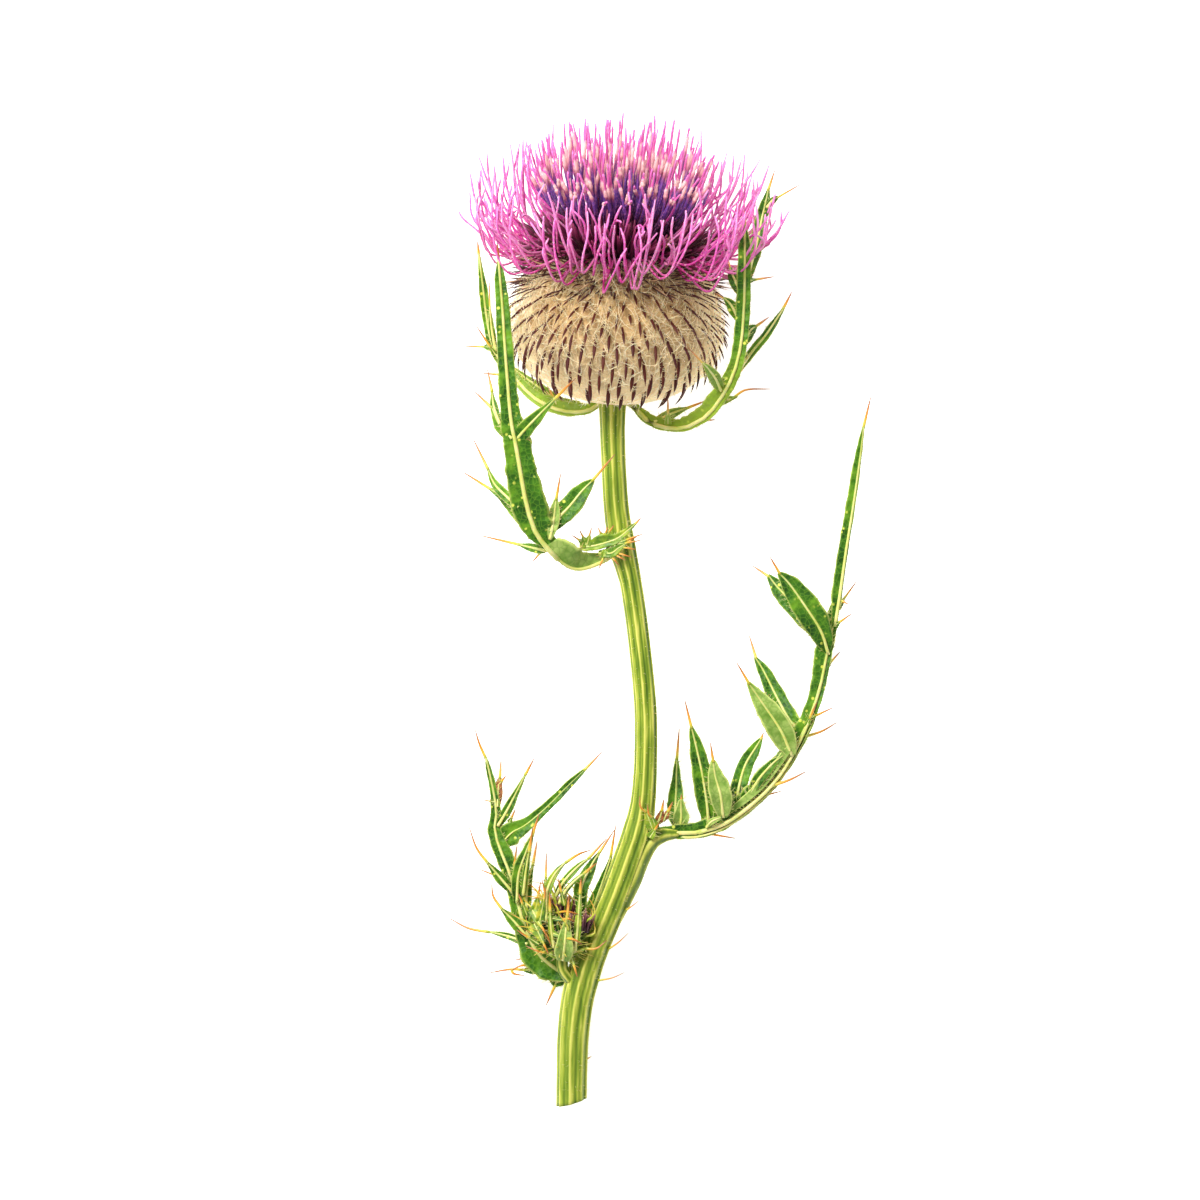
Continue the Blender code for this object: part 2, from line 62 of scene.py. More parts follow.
def smooth_path(points, steps):
    """Evenly spaced places along a curve that passes through the points."""
    points = [Vector(p) for p in points]
    ends = [2 * points[0] - points[1], *points, 2 * points[-1] - points[-2]]
    made = []
    for step in range(steps + 1):
        place = step * (len(points) - 1) / steps
        k = min(int(place), len(points) - 2)
        t = place - k
        a, b, c, d = ends[k : k + 4]
        bend = 2 * a - 5 * b + 4 * c - d
        made.append(0.5 * (2 * b + (c - a) * t + bend * t * t + (3 * b - a - 3 * c + d) * t**3))
    return made


def spread(values, steps):
    """The values, evenly stretched over a number of steps."""
    return list(np.interp(np.linspace(0, len(values) - 1, steps + 1), range(len(values)), values))


def unit(arrows):
    """Arrows along the last axis, each made one long."""
    return arrows / np.maximum(np.linalg.norm(arrows, axis=-1, keepdims=True), 1e-9)


def add_piece(name, mesh, materials, nodes=()):
    """Makes a mesh a piece of the thistle: it rides on the one body and may stand for CAD nodes."""
    for material in materials:
        mesh.materials.append(material)
    piece = bpy.data.objects.new(name, mesh)
    bpy.context.scene.collection.objects.link(piece)
    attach(piece, "root")
    if nodes:
        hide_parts(*nodes)
    return piece


def set_attribute(mesh, name, values):
    layer = mesh.attributes.new(name, "FLOAT", "POINT")
    layer.data.foreach_set("value", np.asarray(values, np.float32).ravel())


def above_floor(places):
    """Presses places that would be under the floor up to it. Works on an array of points in millimetres."""
    places[..., 2] = np.maximum(places[..., 2], FLOOR_CLEARANCE)
    return places


# ================================================================ strands
def strand_template(sides, rings):
    """A straight closed tube whose rings stand one unit apart, for copying."""
    bm = bmesh.new()
    bmesh.ops.create_cone(bm, cap_ends=True, segments=sides, radius1=1, radius2=1, depth=1)
    bmesh.ops.translate(bm, vec=(0, 0, 0.5), verts=bm.verts)
    top = max(bm.faces, key=lambda f: f.calc_center_median().z)
    for _ in range(rings - 2):
        top = bmesh.ops.extrude_discrete_faces(bm, faces=[top])["faces"][0]
        bmesh.ops.translate(bm, vec=(0, 0, 1), verts=top.verts)
    mesh = bpy.data.meshes.new("strand_template")
    bm.to_mesh(mesh)
    bm.free()
    return mesh


def strand_mesh(name, paths, widths, sides=4, flatness=1.0, facing=None, tones=None, ridges=None):
    """Many tubes of one kind. paths holds, for each strand, its places from root to tip; widths the radii.

    flatness is thickness over width, facing an arrow for each strand that its flat side looks along, and
    ridges a function of the angle round a strand that scales its radius.
    """
    paths = np.asarray(paths, float)
    count, rings = paths.shape[:2]
    widths = np.broadcast_to(np.asarray(widths, float), (count, rings))
    template = strand_template(sides, rings)
    corners = np.array([v.co for v in template.vertices])
    ring = np.rint(corners[:, 2]).astype(int)
    angle = np.arctan2(corners[:, 1], corners[:, 0])
    bm = bmesh.new()
    for _ in range(count):
        bm.from_mesh(template)
    mesh = bpy.data.meshes.new(name)
    bm.to_mesh(mesh)
    bm.free()
    bpy.data.meshes.remove(template)

    ahead = unit(np.gradient(paths, axis=1))
    if facing is None:
        overall = unit(paths[:, -1] - paths[:, 0])
        facing = np.cross(overall, np.where(np.abs(overall[:, 2:3]) < 0.9, (0, 0, 1.0), (1.0, 0, 0)))
    facing = np.broadcast_to(np.asarray(facing, float), (count, 3))[:, None, :]
    thin_way = unit(facing - (facing * ahead).sum(-1, keepdims=True) * ahead)
    wide_way = np.cross(thin_way, ahead)
    swell = np.ones_like(angle) if ridges is None else ridges(angle)
    across = (widths[:, ring] * swell * np.cos(angle))[..., None]
    through = (widths[:, ring] * swell * np.sin(angle) * flatness)[..., None]
    places = paths[:, ring] + across * wide_way[:, ring] - through * thin_way[:, ring]
    # wide x (-thin) runs along the strand, so the faces keep looking outwards
    mesh.vertices.foreach_set("co", (above_floor(places) * MM).astype(np.float32).ravel())
    set_attribute(mesh, "along", np.tile(ring / (rings - 1), count))
    set_attribute(mesh, "tone", np.repeat(np.random.default_rng(7).random(count) if tones is None else tones,
                                          len(ring)))
    if ridges is not None:
        set_attribute(mesh, "ridge", np.tile(swell, count))
    mesh.shade_smooth()
    mesh.update()
    return mesh


def cone_widths(rings, root, tip, power=1.0):
    """Radii that taper from root to tip."""
    return root + (tip - root) * np.linspace(0, 1, rings) ** power


# ================================================================ materials
class Finish:
    """A Principled material with short calls for the nodes that feed it."""

    def __init__(self, name, roughness=0.5, **sockets):
        self.material = bpy.data.materials.new(name)
        self.material.use_nodes = True
        self.nodes = self.material.node_tree.nodes
        self.links = self.material.node_tree.links
        self.shader = self.nodes["Principled BSDF"]
        self.set("Roughness", roughness)
        for key, value in sockets.items():
            self.set(key.replace("_", " "), value)

    def set(self, socket, value):
        """Links an output to a socket of the shader, or gives the socket a plain value."""
        if isinstance(value, bpy.types.NodeSocket):
            self.links.new(value, self.shader.inputs[socket])
        else:
            self.shader.inputs[socket].default_value = value

    def node(self, kind, **inputs):
        made = self.nodes.new(kind)
        for key, value in inputs.items():
            socket = made.inputs[key.replace("_", " ")]
            if isinstance(value, bpy.types.NodeSocket):
                self.links.new(value, socket)
            else:
                socket.default_value = value
        return made

    def attribute(self, name):
        made = self.nodes.new("ShaderNodeAttribute")
        made.attribute_name = name
        return made.outputs["Fac"]

    def object_place(self, scale=(1, 1, 1)):
        """Places on the object in metres, stretched by scale."""
        place = self.nodes.new("ShaderNodeTexCoord").outputs["Object"]
        return self.node("ShaderNodeMapping", Vector=place, Scale=scale).outputs["Vector"]

    def along_stem(self):
        """How far up the stem a place is, in metres."""
        return self.node("ShaderNodeSeparateXYZ", Vector=self.object_place()).outputs["Y"]

    def clouds(self, size, detail=2.0, stretch=(1, 1, 1)):
        """Soft noise whose patches are about size metres across."""
        place = self.object_place(stretch)
        return self.node("ShaderNodeTexNoise", Vector=place, Scale=1 / size, Detail=detail).outputs["Fac"]

    def cells(self, size, feature="F1"):
        made = self.node("ShaderNodeTexVoronoi", Vector=self.object_place(), Scale=1 / size)
        made.feature = feature
        return made.outputs["Distance"]

    def ramp(self, factor, *stops):
        """Blends colours at places from 0 to 1."""
        made = self.node("ShaderNodeValToRGB", Fac=factor)
        bar = made.color_ramp.elements
        while len(bar) < len(stops):
            bar.new(0.5)
        for element, (place, colour) in zip(bar, stops):
            element.position = place
            element.color = colour
        return made.outputs["Color"]

    def blend(self, factor, first, second, kind="MIX"):
        made = self.nodes.new("ShaderNodeMix")
        made.data_type = "RGBA"
        made.blend_type = kind
        for number, value in ((0, factor), (6, first), (7, second)):
            if isinstance(value, bpy.types.NodeSocket):
                self.links.new(value, made.inputs[number])
            else:
                made.inputs[number].default_value = value
        return made.outputs[2]

    def times(self, first, second):
        made = self.nodes.new("ShaderNodeMath")
        made.operation = "MULTIPLY"
        self.links.new(first, made.inputs[0])
        self.links.new(second, made.inputs[1])
        return made.outputs["Value"]

    def range(self, value, low, high, to_low=0.0, to_high=1.0):
        made = self.node("ShaderNodeMapRange", Value=value)
        for number, setting in ((1, low), (2, high), (3, to_low), (4, to_high)):
            made.inputs[number].default_value = setting
        return made.outputs["Result"]

    def bump(self, height, strength, distance):
        made = self.node("ShaderNodeBump", Height=height, Strength=strength, Distance=distance)
        self.set("Normal", made.outputs["Normal"])
        return self


def ramped(name, roughness, attribute, *stops, **sockets):
    """A material whose colour follows one attribute of its strands."""
    finish = Finish(name, roughness, **sockets)
    finish.set("Base Color", finish.ramp(finish.attribute(attribute), *stops))
    return finish.material


def leaf_upper(name="leaf_upper_side", collar=False):
    finish = Finish(name, 0.5, Subsurface_Weight=0.1, Subsurface_Scale=0.0008,
                    Specular_IOR_Level=0.25)
    finish.set("Subsurface Radius", (0.5, 1.0, 0.25))
    patches = finish.clouds(0.005, 4)
    green = finish.ramp(patches, (0.34, rgb(28, 70, 8)), (0.5, rgb(54, 104, 14)), (0.66, rgb(100, 146, 26)))
    net = finish.range(finish.cells(0.0013, "DISTANCE_TO_EDGE"), 0.0, 0.10, 0.55, 0)
    green = finish.blend(net, green, rgb(104, 150, 40))
    specks = finish.range(finish.cells(0.0019), 0.16, 0.26, 1, 0)
    few = finish.range(finish.clouds(0.006, 1), 0.50, 0.56)
    green = finish.blend(finish.times(specks, few), green, rgb(206, 212, 84))
    near_vein = finish.range(finish.attribute("margin"), 0.04, 0.24, 0.55, 0)
    green = finish.blend(near_vein, green, rgb(130, 166, 50))
    if collar:
        fresh = finish.range(finish.along_stem(), 0.050, 0.068, 0.7, 0)
        green = finish.blend(fresh, green, rgb(160, 184, 52))
    rim = finish.range(finish.attribute("margin"), 0.88, 1.0, 0, 0.7)
    finish.set("Base Color", finish.blend(rim, green, rgb(186, 196, 96)))
    finish.bump(finish.cells(0.0013), 0.6, 0.0004)
    return finish.material


def leaf_under():
    finish = Finish("leaf_under_side", 0.62, Subsurface_Weight=0.1, Subsurface_Scale=0.0008,
                    Specular_IOR_Level=0.2)
    finish.set("Subsurface Radius", (0.5, 1.0, 0.25))
    pale = finish.ramp(finish.clouds(0.004, 4), (0.32, rgb(104, 140, 48)), (0.68, rgb(166, 188, 98)))
    net = finish.range(finish.cells(0.0017, "DISTANCE_TO_EDGE"), 0.0, 0.12, 0.5, 0)
    pale = finish.blend(net, pale, rgb(94, 134, 44))
    rim = finish.range(finish.attribute("margin"), 0.84, 0.99)
    finish.set("Base Color", finish.blend(rim, pale, rgb(206, 214, 122)))
    finish.bump(finish.cells(0.0017, "DISTANCE_TO_EDGE"), 0.5, 0.0004)
    return finish.material


def vein_finish():
    finish = Finish("leaf_vein", 0.45, Subsurface_Weight=0.2, Subsurface_Scale=0.001)
    cream = finish.ramp(finish.clouds(0.004, 2), (0.3, rgb(200, 206, 98)), (0.7, rgb(236, 228, 150)))
    greener = finish.range(finish.attribute("along"), 0.5, 1.0, 0, 0.5)
    finish.set("Base Color", finish.blend(greener, cream, rgb(126, 146, 62)))
    finish.bump(finish.clouds(0.0008, 2, (1, 0.2, 1)), 0.2, 0.0002)
    return finish.material


def spine_finish():
    return ramped("spine", 0.32, "along", (0.0, rgb(170, 184, 60)), (0.18, rgb(216, 186, 64)),
                  (0.36, rgb(222, 156, 50)), (0.62, rgb(194, 120, 42)), (1.0, rgb(136, 84, 42)),
                  Subsurface_Weight=0.15, Subsurface_Scale=0.0006)


def bristle_finish():
    return ramped("bristle", 0.4, "tone", (0.0, rgb(214, 214, 128)), (0.7, rgb(236, 222, 160)),
                  (1.0, rgb(226, 166, 92)))


def stem_finish():
    finish = Finish("stem_skin", 0.5, Subsurface_Weight=0.08, Subsurface_Scale=0.001, Specular_IOR_Level=0.3)
    finish.set("Subsurface Radius", (0.7, 1.0, 0.3))
    ridge = finish.range(finish.attribute("ridge"), 0.92, 1.07)
    streaks = finish.clouds(0.0013, 4, (1, 0.025, 1))
    level = finish.blend(0.55, ridge, streaks)
    colour = finish.ramp(level, (0.30, rgb(70, 100, 14)), (0.43, rgb(106, 132, 28)),
                         (0.56, rgb(152, 166, 50)), (0.68, rgb(210, 206, 98)))
    patches = finish.range(finish.clouds(0.02, 2), 0.4, 0.7, 0, 0.35)
    finish.set("Base Color", finish.blend(patches, colour, rgb(126, 144, 40)))
    finish.bump(streaks, 0.6, 0.0004)
    return finish.material


def pith_finish():
    finish = Finish("cut_pith", 0.8, Subsurface_Weight=0.2, Subsurface_Scale=0.001)
    finish.set("Base Color", finish.ramp(
        finish.clouds(0.0009, 3), (0.3, rgb(196, 200, 138)), (0.7, rgb(226, 224, 180))))
    finish.bump(finish.cells(0.0007), 0.6, 0.0004)
    return finish.material


def wool_ground():
    finish = Finish("wool_ground", 0.95, Sheen_Weight=1.0, Sheen_Roughness=0.4)
    finish.set("Sheen Tint", rgb(255, 238, 200))
    patches = finish.clouds(0.004, 4)
    felt = finish.ramp(patches, (0.3, rgb(150, 112, 70)), (0.5, rgb(192, 154, 100)),
                       (0.7, rgb(226, 192, 134)))
    below = finish.range(finish.along_stem(), 0.054, 0.074, 0.6, 0)
    felt = finish.blend(below, felt, rgb(246, 228, 182))
    # Painted shade: the top of the globe, under the florets, is darkened.
    rim = finish.range(finish.along_stem(), 0.076, 0.090, 0, 0.55)
    felt = finish.blend(rim, felt, rgb(116, 92, 62))
    # Painted backlight: the sides and underside are painted creamy and made to glow.
    finish.set("Base Color", finish.blend(finish.attribute("side"), felt, rgb(255, 238, 198)))
    finish.set("Emission Color", rgb(255, 226, 176))
    finish.set("Emission Strength", finish.range(finish.attribute("side"), 0, 1, 0.02, 0.3))
    finish.bump(finish.clouds(0.0009, 5), 0.7, 0.0005)
    return finish.material


def wool_hair():
    finish = Finish("wool_hair", 0.6, Sheen_Weight=0.4, Subsurface_Weight=0.3, Subsurface_Scale=0.002)
    # Painted light through tone: hairs at the sides and below are creamy and glow as if backlit, and hairs
    # near the florets are darker as painted shade.
    finish.set("Emission Color", rgb(255, 232, 190))
    finish.set("Emission Strength", finish.range(finish.attribute("tone"), 0.2, 1, 0.02, 0.3))
    finish.set("Base Color", finish.ramp(finish.attribute("tone"), (0.0, rgb(214, 174, 116)),
                                         (0.4, rgb(240, 212, 158)), (1.0, rgb(255, 250, 226))))
    return finish.material


def bract_finish():
    finish = Finish("bract_tip", 0.55, Specular_IOR_Level=0.2)
    dark = finish.ramp(finish.attribute("along"), (0.0, rgb(150, 112, 84)), (0.18, rgb(104, 54, 44)),
                       (0.30, rgb(66, 16, 14)), (0.88, rgb(62, 18, 16)), (1.0, rgb(150, 92, 66)))
    shade = finish.range(finish.attribute("tone"), 0, 1, 0, 0.3)
    finish.set("Base Color", finish.blend(shade, dark, rgb(116, 60, 40)))
    return finish.material


def whisker_finish():
    finish = Finish("bract_whisker", 0.5)
    dark = finish.ramp(finish.attribute("along"), (0.0, rgb(170, 130, 96)), (0.3, rgb(92, 50, 46)),
                       (1.0, rgb(60, 26, 32)))
    light = finish.range(finish.attribute("tone"), 0.84, 0.9)
    finish.set("Base Color", finish.blend(light, dark, rgb(214, 172, 130)))
    return finish.material


def outer_floret_finish():
    finish = Finish("floret_pink", 0.45, Subsurface_Weight=0.15, Subsurface_Scale=0.001)
    # Darkest at the root: painted shade where the florets leave the wool, over their own dark crimson;
    # crimson to pink above is their own colour.
    pink = finish.ramp(
        finish.attribute("along"), (0.0, rgb(60, 4, 30)), (0.14, rgb(126, 8, 66)), (0.28, rgb(182, 30, 116)),
        (0.5, rgb(202, 60, 148)), (0.8, rgb(212, 84, 170)), (1.0, rgb(226, 128, 194)))
    pale = finish.range(finish.attribute("tone"), 0.4, 1, 0, 0.5)
    pink = finish.blend(pale, pink, rgb(238, 164, 208))
    grains = finish.range(finish.clouds(0.0007, 2), 0.54, 0.66, 0, 0.5)
    finish.set("Base Color", finish.blend(grains, pink, rgb(246, 190, 206)))
    finish.bump(finish.clouds(0.0007, 2), 0.5, 0.0003)
    return finish.material


def inner_floret_finish():
    finish = Finish("floret_violet", 0.45, Subsurface_Weight=0.1, Subsurface_Scale=0.001)
    # The near-black foot is painted shade deep in the packed head, over the tubes' own dark purple; violet,
    # cream and pink above are the florets' own colours.
    shades = finish.ramp(finish.attribute("along"), (0.0, rgb(30, 8, 20)), (0.26, rgb(42, 10, 30)),
                         (0.38, rgb(54, 18, 58)), (0.46, rgb(84, 42, 118)), (0.53, rgb(104, 58, 142)),
                         (0.56, rgb(172, 92, 118)), (0.62, rgb(232, 176, 172)), (0.76, rgb(240, 194, 190)),
                         (0.81, rgb(204, 78, 152)), (1.0, rgb(218, 112, 184)))
    grains = finish.range(finish.clouds(0.0006, 2), 0.5, 0.68, 0, 0.3)
    finish.set("Base Color", finish.blend(grains, shades, rgb(226, 140, 190)))
    finish.bump(finish.clouds(0.0006, 2), 0.6, 0.0003)
    return finish.material


def corolla_finish():
    # Painted shade: near-black low down, where the packed tubes shade one another, to their own maroon at the
    # tips.
    return ramped("floret_tube", 0.5, "along", (0.0, rgb(30, 10, 18)), (0.5, rgb(46, 10, 26)),
                  (0.8, rgb(78, 8, 42)), (1.0, rgb(120, 16, 66)))


def bud_green_finish():
    finish = Finish("bud_green", 0.55)
    finish.set("Base Color", finish.ramp(
        finish.clouds(0.0025, 3), (0.3, rgb(34, 62, 20)), (0.6, rgb(66, 100, 30)), (0.8, rgb(120, 146, 52))))
    finish.bump(finish.clouds(0.0008, 3), 0.6, 0.0004)
    return finish.material


def bud_floret_finish():
    return ramped("bud_tuft", 0.6, "along", (0.0, rgb(48, 20, 26)), (0.6, rgb(86, 40, 52)),
                  (0.9, rgb(132, 80, 84)), (1.0, rgb(190, 140, 120)))


def bud_scale_finish():
    return ramped("bud_scale", 0.5, "along", (0.0, rgb(52, 84, 24)), (0.45, rgb(104, 140, 42)),
                  (0.7, rgb(206, 200, 86)), (1.0, rgb(224, 170, 84)))


def bud_leaf_finish():
    finish = Finish("bud_leaf", 0.5, Subsurface_Weight=0.1, Subsurface_Scale=0.0008)
    finish.set("Base Color", finish.ramp(finish.clouds(0.002, 3), (0.35, rgb(64, 104, 14)),
                                         (0.5, rgb(116, 146, 24)), (0.65, rgb(196, 190, 50))))
    return finish.material


def auricle_finish():
    finish = Finish("fresh_leaf", 0.5, Subsurface_Weight=0.1, Subsurface_Scale=0.0008)
    finish.set("Base Color", finish.ramp(finish.clouds(0.003, 3), (0.32, rgb(84, 124, 18)),
                                         (0.5, rgb(132, 160, 32)), (0.68, rgb(190, 196, 64))))
    finish.bump(finish.cells(0.0013), 0.5, 0.0004)
    return finish.material


def needle_finish():
    return ramped("bud_needle", 0.45, "along", (0.0, rgb(92, 132, 34)), (0.3, rgb(160, 184, 48)),
                  (0.55, rgb(214, 206, 74)), (0.76, rgb(222, 160, 62)), (1.0, rgb(160, 84, 44)))


def dry_finish():
    finish = Finish("dry_tissue", 0.7)
    finish.set("Base Color", finish.ramp(
        finish.clouds(0.0012, 3), (0.3, rgb(92, 54, 26)), (0.6, rgb(170, 100, 46)), (0.8, rgb(214, 148, 76))))
    finish.bump(finish.clouds(0.0007, 3), 0.6, 0.0003)
    return finish.material


FLOOR_GLOW = 0.72


def floor_finish():
    finish = Finish("pale_floor", 0.9, Base_Color=rgb(250, 250, 250))
    finish.set("Emission Color", (1, 1, 1, 1))
    finish.set("Emission Strength", FLOOR_GLOW)
    return finish.material


LEAF_UPPER, LEAF_UNDER = leaf_upper(), leaf_under()
LEAF_COLLAR = leaf_upper("collar_leaf", collar=True)
VEIN, SPINE, BRISTLE = vein_finish(), spine_finish(), bristle_finish()
DRY, FRESH = dry_finish(), auricle_finish()


# ================================================================ stem
# Across, along, up and radius of the stem's middle line, from the cut to the neck.
STEM_LINE = [
    (-22.2, -123.3, 4.0, 3.75), (-22.1, -116, 5.1, 3.75), (-21.8, -107, 6.3, 3.85), (-20.8, -98, 7.5, 3.95),
    (-18.8, -90, 8.5, 4.05), (-16.4, -83.5, 9.4, 3.85), (-13.2, -76, 10.4, 3.75), (-10.6, -69.5, 11.3, 3.7),
    (-7.9, -62, 12.3, 3.7), (-5.6, -55, 13.2, 3.65), (-4.2, -47.5, 14.2, 3.05), (-3.6, -38, 15.5, 2.8),
    (-3.5, -28, 16.8, 2.75), (-3.9, -20, 17.9, 2.7), (-4.9, -10, 19.3, 2.65), (-6.0, -1, 20.5, 2.6),
    (-7.4, 8, 21.7, 2.65), (-9.4, 16.5, 22.8, 3.25), (-10.9, 26, 24.1, 3.05), (-11.6, 37, 25.5, 2.95),
    (-11.9, 46, 26.7, 3.0), (-11.9, 52.3, 27.6, 3.3), (-11.8, 54.5, 28.0, 4.6),
]
STEM_PRICKLES = [
    [(-8.6, -74.8, 12.2), (-7.2, -73.8, 12.6), (-5.4, -72.4, 13)],
    [(-13, -84.6, 11.2), (-10.4, -82.8, 12), (-7.9, -80.4, 12.6)],
    [(-15.6, -92.5, 10.6), (-12, -91.8, 11), (-8.9, -90.4, 11.6)],
    [(-18.8, -112.6, 5.8), (-18.0, -112.2, 6.4), (-17.2, -111.7, 7.0)],
]
CUT_SLOPE = 0.30
CUT_REACH = 6
CUT_FACE_BELOW = -0.1
STEM_SIDES, STEM_RINGS = 126, 170
STEM_HAIRS = 1100


def stem_ridges(angle):
    """Main ribs with a narrower line between some of them."""
    ribs = np.cos(9 * angle + 0.6 + 0.5 * np.sin(2 * angle))
    fine = np.cos(23 * angle + 1.4)
    return 1 + 0.042 * ribs + 0.018 * fine + 0.014 * np.cos(14 * angle + 2)


def build_stem():
    """The ribbed stem, whose lower end is cut at a slant and shows its pith."""
    line = smooth_path([p[:3] for p in STEM_LINE], STEM_RINGS - 1)
    radii = spread([p[3] for p in STEM_LINE], STEM_RINGS - 1)
    mesh = strand_mesh("stem_skin", [line], [radii], STEM_SIDES, facing=(0, 0, 1), ridges=stem_ridges)
    first = STEM_LINE[0]
    for v in mesh.vertices:
        beyond = first[1] + CUT_REACH - v.co.y / MM
        if beyond > 0:
            v.co.y += CUT_SLOPE * (v.co.x - first[0] * MM) * min(1, beyond / CUT_REACH)
    mesh.polygons.foreach_set("material_index", [
        int(len(face.vertices) > 4 and face.center.y < CUT_FACE_BELOW) for face in mesh.polygons])
    add_piece("stem_skin", mesh, [stem_finish(), pith_finish()], ["stem"])
    return line, radii


def build_stem_hairs(line, radii):
    """Sparse fine hairs all the way up."""
    rng = random.Random(3)
    hairs = []
    for _ in range(STEM_HAIRS):
        k = rng.randrange(2, len(line) - 6)
        ahead = (line[k + 1] - line[k]).normalized()
        turn = rng.uniform(0, FULL_TURN)
        side = ahead.cross(UP).normalized()
        out = side * math.cos(turn) + side.cross(ahead) * math.sin(turn)
        root = line[k] + out * (radii[k] * 0.99)
        length = rng.uniform(0.5, 1.5)
        lean = (out + ahead * rng.uniform(-0.6, 0.8) + side * rng.uniform(-0.4, 0.4)).normalized()
        hairs.append([root, root + out * length * 0.5, root + out * length * 0.4 + lean * length * 0.6])
    mesh = strand_mesh("stem_hairs", hairs, cone_widths(3, 0.045, 0.015), 3)
    add_piece("stem_hairs", mesh, [BRISTLE])


def build_stem_prickles():
    """A few prickles on the outer side of the lower bend."""
    mesh = strand_mesh("stem_prickles", [smooth_path(p, 8) for p in STEM_PRICKLES],
                       cone_widths(9, 0.3, 0.05), 6)
    add_piece("stem_prickles", mesh, [SPINE])


# ================================================================ leaves
LEAF_THICKNESS = 0.42
BLADE_SHARES = (-1.0, -0.55, 0.0, 0.55, 1.0)
STEP_LENGTH = 1.3
LOBE_SHAPE = (0.55, 0.85, 1.0, 0.95, 0.75, 0.45, 0.14)
LOBE_FOLD = 0.25
FACING_UP, FACING_DOWN = (0, 0, 1), (0, 0, -1)
NO_BEND = (0, 0, 0)


class Leaf:
    """Collects the blades, veins, spines and bristles of one leaf, then makes its pieces."""

    def __init__(self, name, nodes, seed):
        self.name, self.nodes = name, nodes
        self.bm = bmesh.new()
        self.margin = self.bm.verts.layers.float.new("margin")
        self.veins, self.spines, self.bristles = [], [], []
        self.rng = random.Random(seed)

    def grow(self, row, edges):
        """Extrudes a row of corners once. The new row and its edges keep the old order."""
        grown = bmesh.ops.extrude_edge_only(self.bm, edges=edges)["geom"]
        fresh = [g for g in grown if isinstance(g, bmesh.types.BMVert)]
        row = [next(v for v in fresh if any(e.other_vert(v) is old for e in v.link_edges)) for old in row]
        edges = [next(e for e in a.link_edges if e.other_vert(a) is b) for a, b in zip(row, row[1:])]
        return row, edges

    def blade(self, points, left, right, up=FACING_UP, fold=0.22, steps=None, vein=0.34, bristle_gap=0.7,
              wavy=0.16, sink=0.0):
        """One flat green stretch along its vein. left and right are its half widths from root to tip.

        up is the side that its upper skin faces, fold how much its margins rise over the vein, and wavy how
        uneven they are. sink lowers its root, so that it slips under the blade it grows from.
        """
        length = sum((Vector(b) - Vector(a)).length for a, b in zip(points, points[1:]))
        steps = steps or max(8, int(length / STEP_LENGTH))
        path = smooth_path(points, steps)
        lefts, rights = spread(left, steps), spread(right, steps)
        row = [self.bm.verts.new(path[0]) for _ in BLADE_SHARES]
        edges = [self.bm.edges.new(pair) for pair in zip(row, row[1:])]
        margins = {-1: [], 1: []}
        for k, place in enumerate(path):
            if k:
                row, edges = self.grow(row, edges)
            ahead = (path[min(k + 1, steps)] - path[max(k - 1, 0)]).normalized()
            across = ahead.cross(Vector(up)).normalized()
            above = across.cross(ahead).normalized()
            low = UP * (sink * max(0.0, 1 - 3.5 * k / steps))
            for vert, share in zip(row, BLADE_SHARES):
                half = rights[k] if share > 0 else lefts[k]
                ripple = wavy * half * self.rng.uniform(-1, 1) if abs(share) == 1 else 0
                out = share * (half + ripple * 0.6)
                vert.co = place - low + across * out + above * (abs(out) * fold + ripple)
                vert[self.margin] = abs(share)
            for side, vert in ((-1, row[0]), (1, row[-1])):
                margins[side].append((vert.co.copy(), across * side, ahead, above))
        if vein:
            self.veins.append(([place + UP * (0.12 + 0.4 * vein) for place in path], vein))
        if bristle_gap:
            for rows in margins.values():
                self.add_bristles(rows, bristle_gap)

    def add_bristles(self, rows, gap):
        """Short bristles along one margin, about one for each gap."""
        for (a, out, ahead, above), (b, *_) in zip(rows[1:-1], rows[2:]):
            for _ in range(max(1, round((b - a).length / gap))):
                root = a.lerp(b, self.rng.random())
                length = self.rng.choice((0.4, 0.5, 0.6, 0.8, 1.0, 1.6))
                way = out + ahead * self.rng.uniform(0.1, 1.1) + above * self.rng.uniform(-0.4, 0.4)
                way.normalize()
                self.bristles.append([root - out * 0.1, root + way * length * 0.5, root + way * length])

    def spine(self, root, tip, bend=NO_BEND, radius=0.42):
        """A stiff spine, slightly bent at its middle."""
        root, tip = Vector(root), Vector(tip)
        middle = root.lerp(tip, 0.5) + Vector(bend)
        self.spines.append((smooth_path([root, middle, tip], 9), radius))

    def lobe(self, points, width, under=False, bend=NO_BEND, vein=0.42, radius=0.42, shape=LOBE_SHAPE,
             sink=0.9):
        """A lobe from its root at the midrib to its tip, with the spine's tip as the last point.

        under turns its pale underside up. shape gives its width from root to tip, as shares of width.
        """
        *blade, spine_tip = [Vector(p) for p in points]
        halves = [width / 2 * share for share in shape]
        up, fold = (FACING_DOWN, -LOBE_FOLD) if under else (FACING_UP, LOBE_FOLD)
        self.blade(blade, halves, halves, up=up, fold=fold, vein=vein, sink=sink)
        start = blade[-1] - (blade[-1] - blade[-2]).normalized() * 0.7 + UP * 0.15
        self.spine(start, spine_tip, bend, radius)

    def prickle(self, root, tip, bend=NO_BEND, green=0.35, width=1.5, radius=0.34):
        """A spine on a small green foot, which takes up the share green of its length."""
        root, tip = Vector(root), Vector(tip)
        foot = root.lerp(tip, green)
        halves = [width / 2, width / 2 * 0.8, 0.12]
        self.blade([root, root.lerp(foot, 0.5), foot], halves, halves, steps=5, vein=0.2, bristle_gap=1.2)
        self.spine(root.lerp(tip, green * 0.8), tip, bend, radius)

    def frill(self, root, tips, width, green):
        """Several small spiny teeth that spread from one place."""
        for tip in tips:
            self.prickle(root, tip, bend=(0, 0, 0.5), width=width, green=green, radius=0.26)

